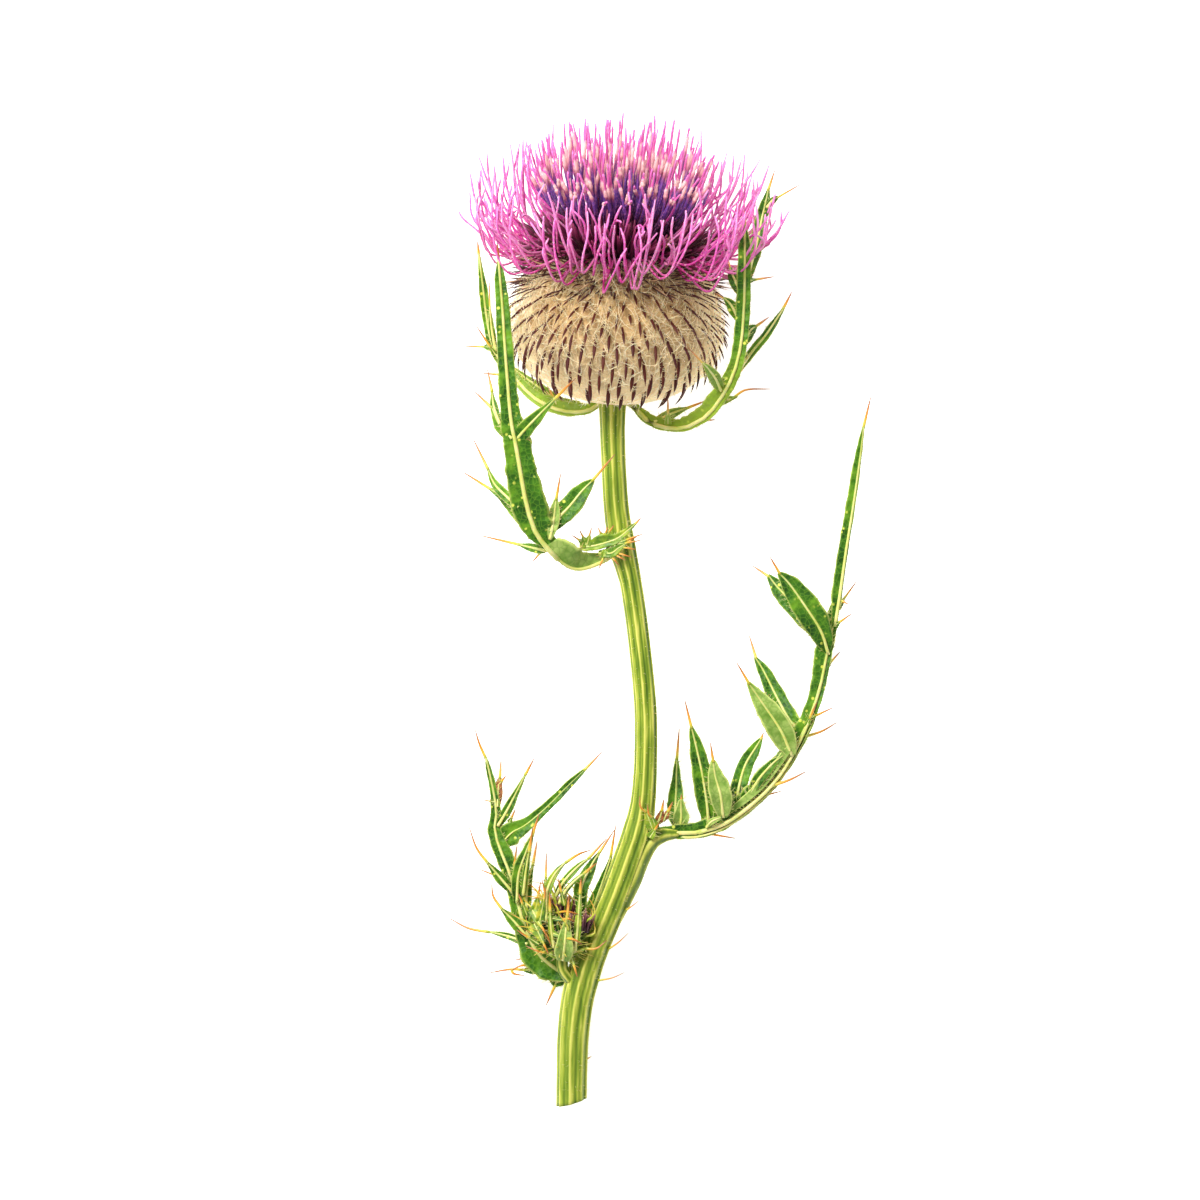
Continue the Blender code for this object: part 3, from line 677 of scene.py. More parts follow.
    def finish(self, slot="leaf", materials=()):
        """Makes the pieces: the blades as one skin with a thickness, then veins, spines and bristles."""
        self.finish_blade(materials or [LEAF_UPPER, LEAF_UNDER])
        self.finish_strands("veins", [smooth_path(path, 19) for path, _ in self.veins],
                            [cone_widths(20, r, r * 0.45) for _, r in self.veins], 7, VEIN)
        self.finish_strands("spines", [path for path, _ in self.spines],
                            [cone_widths(10, r, 0.09, 1.5) for _, r in self.spines], 6, SPINE)
        self.finish_strands("bristles", self.bristles, cone_widths(3, 0.07, 0.025), 3, BRISTLE)

    def finish_blade(self, materials):
        mesh = bpy.data.meshes.new(self.name + "_blade")
        bmesh.ops.reverse_faces(self.bm, faces=self.bm.faces)
        for vert in self.bm.verts:
            vert.co.z = max(vert.co.z, FLOOR_CLEARANCE + LEAF_THICKNESS)
        bmesh.ops.transform(self.bm, matrix=Matrix.Scale(MM, 4), verts=self.bm.verts)
        self.bm.to_mesh(mesh)
        self.bm.free()
        mesh.shade_smooth()
        blade = add_piece(self.name + "_blade", mesh, materials, self.nodes)
        smoother = blade.modifiers.new("smoother", "SUBSURF")
        smoother.levels = smoother.render_levels = 1
        wall = blade.modifiers.new("thickness", "SOLIDIFY")
        wall.thickness = LEAF_THICKNESS * MM
        wall.offset = 0
        wall.material_offset = 1

    def finish_strands(self, kind, paths, widths, sides, material):
        if len(paths):
            mesh = strand_mesh(f"{self.name}_{kind}", paths, widths, sides)
            add_piece(f"{self.name}_{kind}", mesh, [material])


def right_leaf_midrib(leaf):
    """The long narrow blade, its keel and ribs, and the pale strips between its lobes."""
    leaf.blade([(-2.4, -55.0, 13), (2.9, -55.3, 12.2), (9.5, -55.2, 10.8), (16.2, -52.9, 9.6),
                (22.9, -48.2, 9.5), (28.9, -42.2, 9.6), (33.5, -35.1, 9.8), (37.5, -27.1, 10),
                (40.2, -19.1, 10), (41.9, -11.1, 10), (43.0, -5.8, 10.1), (44.1, -0.4, 10.3),
                (45.0, 4.0, 10.6)], [0.9, 2.0, 2.8, 3.4, 4.0, 4.2, 3.4, 2.4, 2.4, 3.2, 3.2, 2.2, 1.0],
               [1.2, 1.4, 1.5, 1.5, 1.4, 1.4, 1.4, 1.4, 1.3, 1.2, 1.2, 1.0, 0.6], vein=0.62, fold=0.2,
               steps=76)
    leaf.veins.append((smooth_path([(3, -56.3, 12.2), (9.6, -56.3, 11), (16.6, -53.9, 9.9),
                                    (23.5, -49.0, 9.8), (29.8, -42.7, 9.9), (34.6, -35.4, 10.1),
                                    (38.7, -27.1, 10.4)], 30), 0.42))
    leaf.veins.append((smooth_path([(9.6, -55.3, 11.1), (16.3, -53.0, 10.6), (23.0, -48.3, 10.7),
                                    (29.1, -42.3, 10.9), (33.7, -35.2, 11.1), (37.6, -27.1, 10.9),
                                    (40.3, -19.1, 10.6)], 30), 0.6))
    leaf.blade([(15.4, -51.6, 11.0), (20.3, -48.2, 11.2), (25.2, -44.1, 11.3), (29.5, -38.8, 11.6),
                (32.8, -34.2, 12.0)], [0.2, 0.5, 0.6, 0.6, 0.4], [0.4, 1.2, 1.6, 1.7, 1.2], up=FACING_DOWN,
               fold=-0.2, vein=0, steps=22)
    leaf.blade([(11.6, -54.0, 11.6), (13.0, -52.4, 12.2), (15.4, -51.4, 12.2)], [0.3, 0.9, 0.4],
               [0.3, 0.8, 0.4], up=FACING_DOWN, fold=-0.2, vein=0.34, steps=8)
    leaf.blade([(44.0, -3.4, 10.6), (45.3, 4.9, 11), (46.8, 15.6, 11.5), (48.7, 27.6, 12),
                (50.4, 39.6, 12.5), (51.2, 46.8, 13)], [0.8, 2.1, 2.1, 1.9, 1.5, 0.3],
               [0.4, 0.6, 0.6, 0.5, 0.4, 0.2], vein=0.45, fold=0.3, steps=40)
    leaf.spine((51.1, 46.4, 13), (53.0, 54.4, 13.5))


def right_leaf_lobes(leaf):
    leaf.lobe([(5.0, -54.2, 11), (5.3, -51.4, 11.6), (5.3, -49.6, 12), (5.3, -46.8, 12.6), (5.4, -45.6, 13)],
              4.2, under=True, sink=0, shape=(0.5, 0.9, 1.0, 0.9, 0.7, 0.5, 0.2), radius=0.25)
    leaf.lobe([(4.6, -54.0, 9.6), (3.9, -49.8, 7.4), (4.1, -44.4, 6), (4.3, -36.4, 4.4), (4.9, -29.2, 3.4)],
              4.3)
    leaf.lobe([(12.2, -53.0, 10.4), (11.8, -47.8, 12), (10.6, -40.4, 13.6), (8.9, -32.8, 14.6),
               (7.8, -28.4, 15), (6.2, -21.8, 16)], 5.2)
    leaf.lobe([(15.9, -51.4, 11.4), (15.2, -45.8, 14.4), (13.9, -41.1, 15.4), (13.3, -36.9, 16),
               (12.6, -32.4, 17.5)], 5.6, under=True, sink=0, shape=(0.45, 0.85, 1.05, 0.98, 0.8, 0.5, 0.2),
              vein=0.42)
    leaf.lobe([(19.2, -49.4, 8.8), (19.8, -44.4, 7), (21.5, -38.4, 5.4), (24.3, -33.8, 4),
               (25.8, -31.4, 3.5), (26.2, -30.2, 3.4)], 4.4)
    leaf.lobe([(22.6, -45.6, 10.8), (25.0, -41.6, 11.6), (28.4, -37.8, 11.8), (31.0, -35.8, 11.8),
               (31.6, -34.6, 11.6)], 3.2, sink=0, shape=(0.4, 0.8, 1.0, 0.9, 0.7, 0.4, 0.2), radius=0.2)
    leaf.lobe([(33.2, -36, 11), (30.4, -29.6, 13.4), (26.4, -23.6, 15), (22.1, -17.4, 16),
               (19.1, -12.2, 18)], 6.6, under=True, sink=0, shape=(0.35, 0.8, 1.0, 1.0, 0.8, 0.5, 0.16),
              vein=0.45)
    leaf.lobe([(36.2, -30, 9.4), (33.0, -27.4, 7.4), (29.8, -21.8, 5.4), (26.2, -14.6, 4),
               (24.0, -11.1, 3.2), (22.6, -5.6, 1.2)], 5.0)
    leaf.lobe([(42.4, -10.4, 10.6), (40.4, -4.4, 13), (36, 2.4, 15.4), (32.4, 7.4, 16.4), (29.7, 10.2, 17),
               (27.5, 14.2, 19)], 6.8, shape=(0.15, 0.75, 1.0, 1.05, 0.85, 0.5, 0.14), vein=0.42)
    leaf.lobe([(42.8, -7.4, 10.0), (39.6, -3.6, 9.4), (33.5, 2.6, 8.4), (29.6, 6.6, 7.4), (27.3, 9.6, 6.6),
               (23.3, 12, 5.2)], 5.8, shape=(0.6, 1.0, 1.05, 1.0, 0.8, 0.5, 0.16))


def right_leaf_prickles(leaf):
    leaf.prickle((8.4, -54.9, 10.4), (18.9, -56.7, 9.4), width=1.4, green=0.2, radius=0.42)
    leaf.prickle((25.9, -44.4, 9.6), (36.6, -39.9, 13), bend=(0.2, -0.3, 0), green=0.25, radius=0.45)
    leaf.prickle((23.6, -46.6, 9.4), (30.6, -44.9, 7), green=0.25, width=1)
    leaf.prickle((34.6, -32.0, 9.4), (44.6, -27.6, 6.4), bend=(0.2, -0.4, 0), green=0.25, radius=0.42)
    leaf.prickle((37.6, -26.6, 10.2), (43.4, -23.8, 13), green=0.3, width=1.2)
    leaf.prickle((36.8, -28.6, 10.2), (39.4, -22.4, 14.6), green=0.4, width=1.4)
    leaf.prickle((42.0, -13.4, 9.6), (45.4, -9.8, 6.4), width=1.4)
    leaf.prickle((43.6, -3.4, 10.4), (48.1, -0.2, 13), width=2.0, green=0.4)
    leaf.prickle((44.6, 1.2, 10.2), (49.6, 8, 5.6), width=2.0, green=0.4)
    leaf.prickle((45.2, 3.4, 10.8), (47.4, 2.2, 12), width=1.2, green=0.3)


def build_right_long_leaf():
    leaf = Leaf("right_long_leaf", ["right_long_leaf"], 11)
    right_leaf_midrib(leaf)
    right_leaf_lobes(leaf)
    right_leaf_prickles(leaf)
    leaf.finish()


def build_right_leaf_auricle():
    """Fresh spiny teeth where the right leaf clasps the stem."""
    auricle = Leaf("right_leaf_auricle", [], 21)
    auricle.prickle((-1.8, -54.4, 16.2), (-5.1, -45.8, 19.4), bend=(-0.7, -0.6, 0.8), green=0.62, width=2.8)
    auricle.prickle((-1.0, -54.0, 16.2), (-3.2, -48.0, 19.2), bend=(-0.3, -0.6, 0.8), green=0.55, width=1.8)
    auricle.prickle((-2.6, -56.4, 16.0), (-0.2, -52.6, 17.6), green=0.6, width=2.2)
    auricle.finish(materials=[FRESH, LEAF_UNDER])


def build_right_leaf_foot():
    """The thick foot of the right leaf, which runs down the stem."""
    base = smooth_path([(4.5, -55.6, 11.8), (0.6, -55.9, 12.6), (-2.6, -57.6, 12.8), (-5.0, -61.4, 12.4),
                        (-7.2, -67, 11.8), (-9.9, -73, 11), (-12.4, -78.4, 10.4), (-14.6, -83, 10)], 30)
    mesh = strand_mesh("right_leaf_foot", [base], [spread([1.0, 1.8, 2.3, 2.5, 2.5, 2.3, 1.9, 1.3], 30)], 30,
                       facing=(0, 0, 1), ridges=lambda angle: 1 + 0.07 * np.cos(5 * angle + 0.6))
    add_piece("right_leaf_foot", mesh, [bpy.data.materials["stem_skin"]])


def build_upper_left_leaf():
    leaf = Leaf("upper_left_leaf", ["upper_left_leaf"], 12)
    leaf.blade([(-10.6, 15.6, 24.4), (-12.9, 13.8, 24.0), (-15.9, 12.2, 24.6), (-19.9, 11.0, 26.4),
                (-23.1, 11.6, 28.6), (-26.4, 14.3, 31), (-28.6, 16.9, 32.6)],
               [1.0, 2.0, 3.2, 4.6, 5.8, 5.6, 3.8], [0.5, 0.4, 0.4, 0.4, 0.4, 0.4, 0.4], up=(0.1, 0.1, -1),
               fold=-0.12, vein=0.62, steps=26, wavy=0.10)
    leaf.blade([(-25.6, 13.4, 30.2), (-29.0, 17.1, 32.8), (-31.3, 20.4, 34.5), (-33.2, 26.2, 36.5),
                (-34.5, 32.8, 38.7), (-35.5, 38.7, 40.4), (-36.2, 42.6, 41.6), (-37.0, 46.5, 42.7),
                (-37.6, 51.7, 43.8), (-38.1, 58.2, 44.8), (-38.7, 66, 45.5), (-39.3, 76, 46),
                (-39.9, 83, 46), (-40.3, 88, 46)],
               [0.3, 0.7, 2.4, 3.7, 3.7, 3.4, 2.9, 2.9, 2.4, 2.2, 2.0, 1.8, 1.4, 0.25],
               [0.8, 3.4, 4.8, 5.0, 4.4, 4.0, 3.9, 3.0, 2.3, 2.1, 2.0, 1.8, 1.4, 0.25], vein=0.68,
               fold=0.16, steps=70)
    leaf.spine((-40.3, 87.6, 46), (-40.6, 92, 46))
    leaf.lobe([(-27.6, 18.4, 33.6), (-26.9, 21.8, 34.6), (-26.4, 25.2, 35), (-26.0, 28.8, 35),
               (-24.9, 34.8, 36)], 3.2, under=True, sink=0, vein=0.42,
              shape=(0.3, 0.6, 0.9, 1.0, 0.9, 0.6, 0.2))
    leaf.lobe([(-27.4, 20.4, 34.2), (-25.2, 24.0, 34.4), (-22.5, 26.9, 34.4), (-19.6, 30.5, 34),
               (-16.7, 33.3, 34), (-11.4, 39.6, 35.4)], 5.4, shape=(0.3, 0.8, 1.0, 1.0, 0.9, 0.6, 0.15),
              vein=0.42)
    leaf.lobe([(-35.8, 43.4, 41.5), (-33.6, 45.8, 43), (-30, 49.5, 45.6), (-26.1, 53.3, 48.4),
               (-21.2, 58.2, 51)], 4.0, shape=(0.8, 1.0, 1.0, 0.85, 0.65, 0.4, 0.14), vein=0.42)
    leaf.lobe([(-28.6, 15.6, 31), (-32.2, 16.4, 28), (-35.5, 17.2, 24.6), (-45.1, 19.5, 17)], 2.4)
    leaf.prickle((-29.4, 15.9, 30), (-31.9, 12.9, 27), width=1.2)
    leaf.lobe([(-31.6, 19.6, 34), (-34.6, 24.4, 32), (-38.4, 28.4, 29.4), (-42.8, 31.2, 27.4),
               (-49.6, 35.5, 22)], 4.2, vein=0.45)
    leaf.lobe([(-35.4, 26.4, 37), (-38.2, 28.9, 35.4), (-41.4, 32.2, 33.8), (-43.2, 36.3, 33),
               (-46.7, 43.4, 30)], 2.6)
    leaf.lobe([(-37, 43.4, 42), (-40, 46.8, 41.6), (-42.2, 51.6, 41), (-46.4, 55.3, 39.4)], 3.2)
    leaf.lobe([(-40.0, 47, 42), (-41.5, 51.4, 41), (-42, 55.6, 40), (-43.1, 60.6, 39)], 2.0)
    leaf.finish()


def build_upper_left_auricle():
    """Fresh spiny frills where the upper left leaf clasps the stem."""
    auricle = Leaf("upper_left_auricle", [], 22)
    auricle.blade([(-20.2, 16.6, 27.2), (-17.0, 16.8, 27.6), (-13.8, 17.6, 28), (-10.6, 18.8, 28.4),
                   (-7.8, 21.0, 29), (-6.2, 22.4, 29.4)], [0.9, 1.7, 2.2, 1.0, 0.6, 0.2],
                  [0.8, 1.3, 1.3, 1.1, 0.6, 0.2], vein=0.3, fold=0.3, wavy=0.3)
    auricle.spine((-6.4, 22.2, 29.4), (-4.9, 23.8, 29.8), radius=0.32)
    auricle.frill((-18.4, 17.0, 27.6), [(-22.1, 19.5, 28), (-20.2, 20.8, 28.4), (-17.2, 21.4, 28.8)],
                  width=2.2, green=0.6)
    auricle.frill((-14.2, 18.4, 28), [(-15.6, 21.4, 28.8), (-13.2, 21.6, 29.2), (-11.6, 22, 29.4)],
                  width=2.0, green=0.6)
    auricle.frill((-12.4, 17.0, 28.2), [(-4.4, 19.8, 29.8), (-4.9, 18.2, 29.6), (-6.0, 15.9, 29.4)],
                  width=1.8, green=0.55)
    auricle.frill((-13.6, 15.8, 27.6),
                  [(-7.1, 14.0, 29), (-10.4, 12.0, 28.4), (-15.3, 11.2, 27), (-8.6, 13.2, 28.8)], width=1.9,
                  green=0.5)
    auricle.lobe([(-15.4, 15.0, 26.8), (-12.4, 15.0, 28), (-10.6, 16.2, 28.6), (-8.4, 17.6, 29),
                  (-5.6, 19.4, 29.4)], 2.6, vein=0.26, radius=0.25, sink=0)
    auricle.finish(materials=[FRESH, LEAF_UNDER])


def build_head_leaf_right():
    leaf = Leaf("head_leaf_right", ["head_leaf_right"], 13)
    leaf.blade([(-9.4, 52.8, 27.6), (-6.9, 51.8, 27.6), (-4.1, 48.8, 27.4), (-1.1, 47.0, 27.6),
                (2.6, 46.2, 28.6), (6.4, 46.4, 31), (11.2, 48.9, 34.4), (14.2, 52.4, 38), (17, 57, 41),
                (18.9, 62, 43), (20, 67.4, 44), (20.5, 73, 44.6), (20.8, 79.6, 45), (20.9, 90, 45.5),
                (20.8, 96.4, 46)],
               [0.6, 1.2, 1.8, 2.2, 2.4, 2.6, 3.0, 3.2, 2.6, 2.0, 2.0, 2.1, 2.0, 1.8, 0.4],
               [0.6, 0.7, 0.8, 0.8, 0.8, 0.9, 1.0, 1.3, 1.6, 1.6, 1.5, 1.6, 1.6, 1.5, 0.4], vein=0.66,
               fold=0.2, steps=84)
    leaf.spine((20.8, 95.8, 46), (20.8, 99.8, 46))
    leaf.lobe([(21.2, 82, 43), (22.6, 87, 39), (24.2, 93, 33), (25.2, 98, 28), (26.4, 103, 24.6),
               (27.1, 106.4, 24.2), (28.7, 111, 23)], 3.4, shape=(0.5, 0.85, 1.0, 1.0, 0.85, 0.6, 0.15))
    leaf.lobe([(26.6, 101.4, 26), (28.2, 103.4, 25.4), (29.8, 104.3, 25.2), (35, 107.3, 25)], 1.8, radius=0.3)
    leaf.prickle((21.6, 82.6, 43.6), (28.2, 83.8, 38.4), width=1.4, green=0.3)
    leaf.lobe([(20.2, 66.6, 42.6), (22.2, 70.2, 40), (23.9, 71.6, 38.2), (27.0, 73.8, 35.6)], 3.0)
    leaf.lobe([(19.6, 60.6, 41.6), (22.9, 65.3, 38), (26.2, 69.3, 35.4), (29.3, 73.9, 33.6),
               (30.8, 76.2, 33), (32.8, 80.2, 31)], 2.2)
    leaf.prickle((17.6, 57.6, 40), (22.6, 63.4, 36.4), width=1.8, green=0.4)
    leaf.prickle((13.8, 52.6, 37), (27.4, 56.0, 30.6), bend=(-1.4, 0.9, 0), width=2.4, green=0.4, radius=0.38)
    leaf.prickle((9.8, 48, 33), (13.6, 48.3, 31.4), width=1, green=0.3)
    leaf.lobe([(15, 55.4, 40), (13.6, 58.2, 44), (11.9, 60.4, 48), (10.4, 62, 51), (6.5, 65.8, 57)], 3.0,
              radius=0.3)
    leaf.prickle((1.9, 47.4, 29.4), (1.8, 54, 37), width=1.8, green=0.4)
    leaf.lobe([(-1.6, 47.8, 27.6), (3, 50, 26.8), (7, 51.4, 26), (12, 53.4, 25)], 2.6, under=True, sink=0)
    leaf.lobe([(19.4, 72.8, 43), (17.6, 76.4, 43.6), (15.6, 78.4, 44), (13.0, 79.8, 44)], 2.8, radius=0.22)
    leaf.lobe([(20, 79.4, 43), (18.2, 83.4, 41), (17.2, 86, 40), (16.4, 89.6, 39)], 3.4, radius=0.22)
    leaf.finish(materials=[LEAF_COLLAR, LEAF_UNDER])


def build_head_leaf_left():
    leaf = Leaf("head_leaf_left", ["head_leaf_left"], 14)
    leaf.blade([(-14.0, 53.4, 27.4), (-17, 51.2, 26.4), (-20, 50.4, 24.4), (-24, 50.6, 21),
                (-28.6, 52.2, 17.4), (-33, 55.2, 14.4), (-37.4, 60.2, 12), (-40.4, 63.8, 10.6),
                (-42.4, 68, 9.8), (-43.7, 74.8, 9.8), (-44.5, 81.6, 10.2), (-45.6, 90.6, 11)],
               [0.6, 0.8, 0.9, 1.1, 1.2, 1.1, 1, 1.0, 1.2, 1.1, 1.1, 0.2],
               [0.6, 1.6, 2.4, 2.6, 2.6, 1.8, 1.3, 1.2, 1.2, 1.1, 1.1, 0.2], vein=0.56, fold=0.2, steps=60)
    leaf.blade([(-20, 52.2, 22), (-25, 53.0, 18), (-29.6, 56.2, 14.6), (-33.6, 59.0, 12.6),
                (-37, 61.6, 11.4)], [0.9, 1.2, 1.1, 0.9, 0.4], [0.9, 1.3, 1.2, 0.9, 0.4], vein=0.4,
               fold=0.3)
    leaf.spine((-45.6, 90.2, 11), (-45.9, 93.6, 12))
    leaf.prickle((-42.2, 67.0, 9.6), (-50.1, 67.5, 1.4), width=2.2, green=0.3)
    leaf.prickle((-41.4, 65, 10.6), (-46.2, 72.2, 15), width=1.4, green=0.3)
    leaf.lobe([(-41.4, 66, 10.6), (-42.4, 72, 13), (-42.8, 77, 14.4), (-42.9, 83.2, 15)], 1.5, radius=0.25)
    leaf.prickle((-38.6, 59.9, 11.6), (-44.6, 60.4, 8.4), width=1.4, green=0.3)
    leaf.lobe([(-36, 57.4, 13), (-33, 57.6, 12), (-29.4, 56, 13), (-26, 54.4, 14), (-24, 53.6, 14.4)], 1.8)
    leaf.prickle((-26, 52.4, 19.4), (-28.4, 57.4, 16.4), width=1.4, green=0.4)
    leaf.finish(materials=[LEAF_COLLAR, LEAF_UNDER])


def build_lower_left_leaf():
    leaf = Leaf("lower_left_leaf", ["lower_left_leaf"], 15)
    leaf.blade([(-22.4, -91.8, 8.4), (-25, -90.4, 7.2), (-28.2, -88.2, 7), (-31.4, -84.9, 7.3),
                (-34.2, -78.8, 8), (-35.9, -72.6, 8.6), (-37.6, -66.2, 9), (-39.9, -60.4, 9.5),
                (-41.6, -54.9, 9.5), (-41.2, -50, 10), (-42.0, -44.4, 10.4), (-43.2, -38.9, 10.8),
                (-43.8, -36.4, 11)], [1, 2.8, 4.4, 4.2, 2.6, 2.0, 1.7, 1.8, 1.8, 1.4, 0.9, 0.7, 0.2],
               [1, 1.8, 3, 3.4, 3.0, 2.4, 2.4, 2.6, 1.6, 1.2, 0.9, 0.7, 0.2], vein=0.55, fold=0.24,
               steps=64)
    leaf.spine((-43.7, -36.8, 11), (-46.5, -29.3, 12), bend=(-0.3, 0, 0))
    leaf.lobe([(-24.6, -90.6, 7), (-26.0, -92.8, 6.2), (-26.5, -94.2, 5.8), (-28.8, -99.2, 4.2)], 4.4)
    leaf.lobe([(-29.6, -87.6, 7), (-32, -89.6, 5.6), (-34.4, -90.2, 4.4), (-43.0, -90.9, 1.6)], 3.4,
              bend=(0.4, 0.5, 0))
    leaf.spine((-32.8, -89.0, 5.2), (-37.6, -90.2, 5.6), bend=(0.2, 0.7, 0.4))
    leaf.spine((-37.4, -90.2, 5.6), (-34.2, -91.4, 6), bend=(-0.9, -0.2, 0))
    leaf.prickle((-31.6, -86.6, 7), (-36.4, -87.4, 7), width=1.6)
    leaf.lobe([(-33.4, -83.4, 7.6), (-35.4, -82.4, 7), (-39.4, -81.2, 5.4), (-43.6, -80.4, 4),
               (-53.2, -77.1, 0.9)], 2.0, bend=(-0.2, -0.8, 0))
    leaf.lobe([(-33.2, -81.8, 8.6), (-36.8, -77.6, 8.8), (-40.2, -74.2, 9), (-42.4, -68.2, 8)], 3.0,
              bend=(-0.9, 0, 0))
    leaf.prickle((-37.4, -67.6, 9.2), (-45.6, -64.6, 5.4), width=1.6, green=0.3)
    leaf.lobe([(-37.0, -70.4, 9.4), (-40.4, -66.4, 10.4), (-43.6, -62.6, 11.4), (-48.0, -53.9, 11)], 2.8,
              bend=(-0.6, -0.6, 0))
    leaf.lobe([(-33.6, -76.6, 9), (-33.4, -69, 9.8), (-31.9, -63, 10.2), (-30.9, -57.3, 10)], 2.4)
    leaf.lobe([(-36, -73.0, 9.6), (-35.6, -66, 12.8), (-33.8, -60.4, 15.4), (-31.9, -55.4, 16.6),
               (-30.4, -50.4, 18)], 3.4)
    leaf.lobe([(-34.4, -71, 12), (-33.6, -64, 15), (-32.8, -59.6, 16.4), (-32.0, -53.8, 17.4)], 1.6)
    leaf.lobe([(-39.6, -57.6, 9.4), (-37.2, -55.2, 9.8), (-33.7, -53.2, 9.8), (-28.7, -49, 9.6),
               (-23.7, -44, 9.2), (-18.7, -39.2, 8.8), (-14.6, -35, 8.6)], 4.9, vein=0.22,
              shape=(0.9, 1.2, 1.0, 0.66, 0.5, 0.46, 0.4, 0.14))
    leaf.lobe([(-40.8, -53.6, 10.2), (-38.9, -50.4, 11), (-37, -46.8, 11.6), (-33.7, -40.3, 12.2),
               (-31.7, -36.6, 13)], 2.6)
    leaf.prickle((-37.9, -52.6, 10.2), (-36.4, -49.4, 12), width=1.2)
    leaf.prickle((-37.0, -66.0, 10.4), (-36.0, -58.6, 13.4), width=1.6)
    leaf.prickle((-41.4, -47.6, 10.4), (-44.6, -47.0, 11), width=0.8, radius=0.18)
    leaf.finish()


def build_dry_lobe():
    """A withered lobe near the tip of the lowest leaf."""
    dry = Leaf("dry_lobe", [], 16)
    dry.lobe([(-40.9, -48.8, 10.4), (-40.7, -44, 10), (-40.2, -41, 9.6), (-40.0, -36.6, 9)], 2.3, vein=0.25)
    dry.prickle((-40.4, -43, 10), (-38.8, -41.0, 11), width=1.2)
    dry.finish(materials=[DRY, DRY])


def build_small_back_leaf():
    leaf = Leaf("small_back_leaf", ["small_back_leaf"], 17)
    leaf.lobe([(-22.6, -88.3, 4.8), (-19.6, -82, 3.4), (-17, -75, 2.8), (-14.5, -68, 3), (-12.2, -61, 3.6),
               (-11.1, -53.4, 4.6)], 3.8, shape=(0.4, 0.8, 1.0, 1.0, 0.8, 0.45, 0.12))
    leaf.finish()


# ================================================================ flower head
# Heights run from the neck along the head's axis, and turns round it.
HEAD_TILT = math.radians(8)
HEAD_LEAN = 0.05
NECK = (-11.9, 52.3, 27.6)
GLOBE_RADIUS, GLOBE_MIDDLE = 26.5, 18.5
GLOBE_BELOW, GLOBE_ABOVE = 18.3, 27.5
RIM_HEIGHT = 36.8
WOOL_DEPTH = 1.9
ROWS = 10
FAN_HEIGHT = 38.0
WOOL_STEPS = 110
WEB_HAIRS, FUZZ_HAIRS = 2500, 4200
BRACTS, WHISKERS = 400, 560
COROLLAS, INNER_FLORETS = 420, 190
HEAD_AXIS = Vector((HEAD_LEAN, math.cos(HEAD_TILT), math.sin(HEAD_TILT))).normalized()
HEAD = Matrix.Translation(NECK) @ UP.rotation_difference(HEAD_AXIS).to_matrix().to_4x4()
HEAD_TURN = np.array(HEAD.to_3x3())


def on_head(places):
    """Places measured from the neck along and round the head's axis, put where the head is."""
    return np.asarray(places) @ HEAD_TURN.T + np.array(NECK)


def globe_radius(height):
    """How far the woolly globe reaches from its axis."""
    reach = np.where(height < GLOBE_MIDDLE, GLOBE_BELOW, GLOBE_ABOVE)
    return GLOBE_RADIUS * np.sqrt(np.maximum(0.01, 1 - ((height - GLOBE_MIDDLE) / reach) ** 2))


def globe_normal(height, turn):
    """The way out of the globe at a height and a turn round its axis."""
    reach = np.where(height < GLOBE_MIDDLE, GLOBE_BELOW, GLOBE_ABOVE)
    return unit(round_axis(globe_radius(height) / GLOBE_RADIUS**2, turn, (height - GLOBE_MIDDLE) / reach**2))


def round_axis(radius, turn, height):
    """Places at a distance from an axis, a turn round it and a height along it."""
    return np.stack(np.broadcast_arrays(radius * np.cos(turn), radius * np.sin(turn), height), axis=-1)


def painted_backlight_share(up_share):
    """Share of painted backlight: none where the wool faces up and stays tan, full at the sides and below,
    which are painted creamy and made to glow.
    """
    return np.clip((0.62 - np.asarray(up_share)) / 0.5, 0, 1)


def wool_tones_with_painted_light(places, rng):
    """How pale each hair is: painted backlight makes hairs at the sides and below paler, painted shade makes
    them darker towards the florets and they are paler towards the neck, and some chance adds to it.
    """
    out = unit(places[:, 0] - on_head([[0, 0, GLOBE_MIDDLE]]))
    height = np.interp(places[:, 0, 1], [54, 72, 78, 90], [0.2, 0, 0, -0.2])
    return np.clip(0.6 * painted_backlight_share(out[:, 2]) + height + rng.uniform(0, 0.5, len(places)), 0, 1)


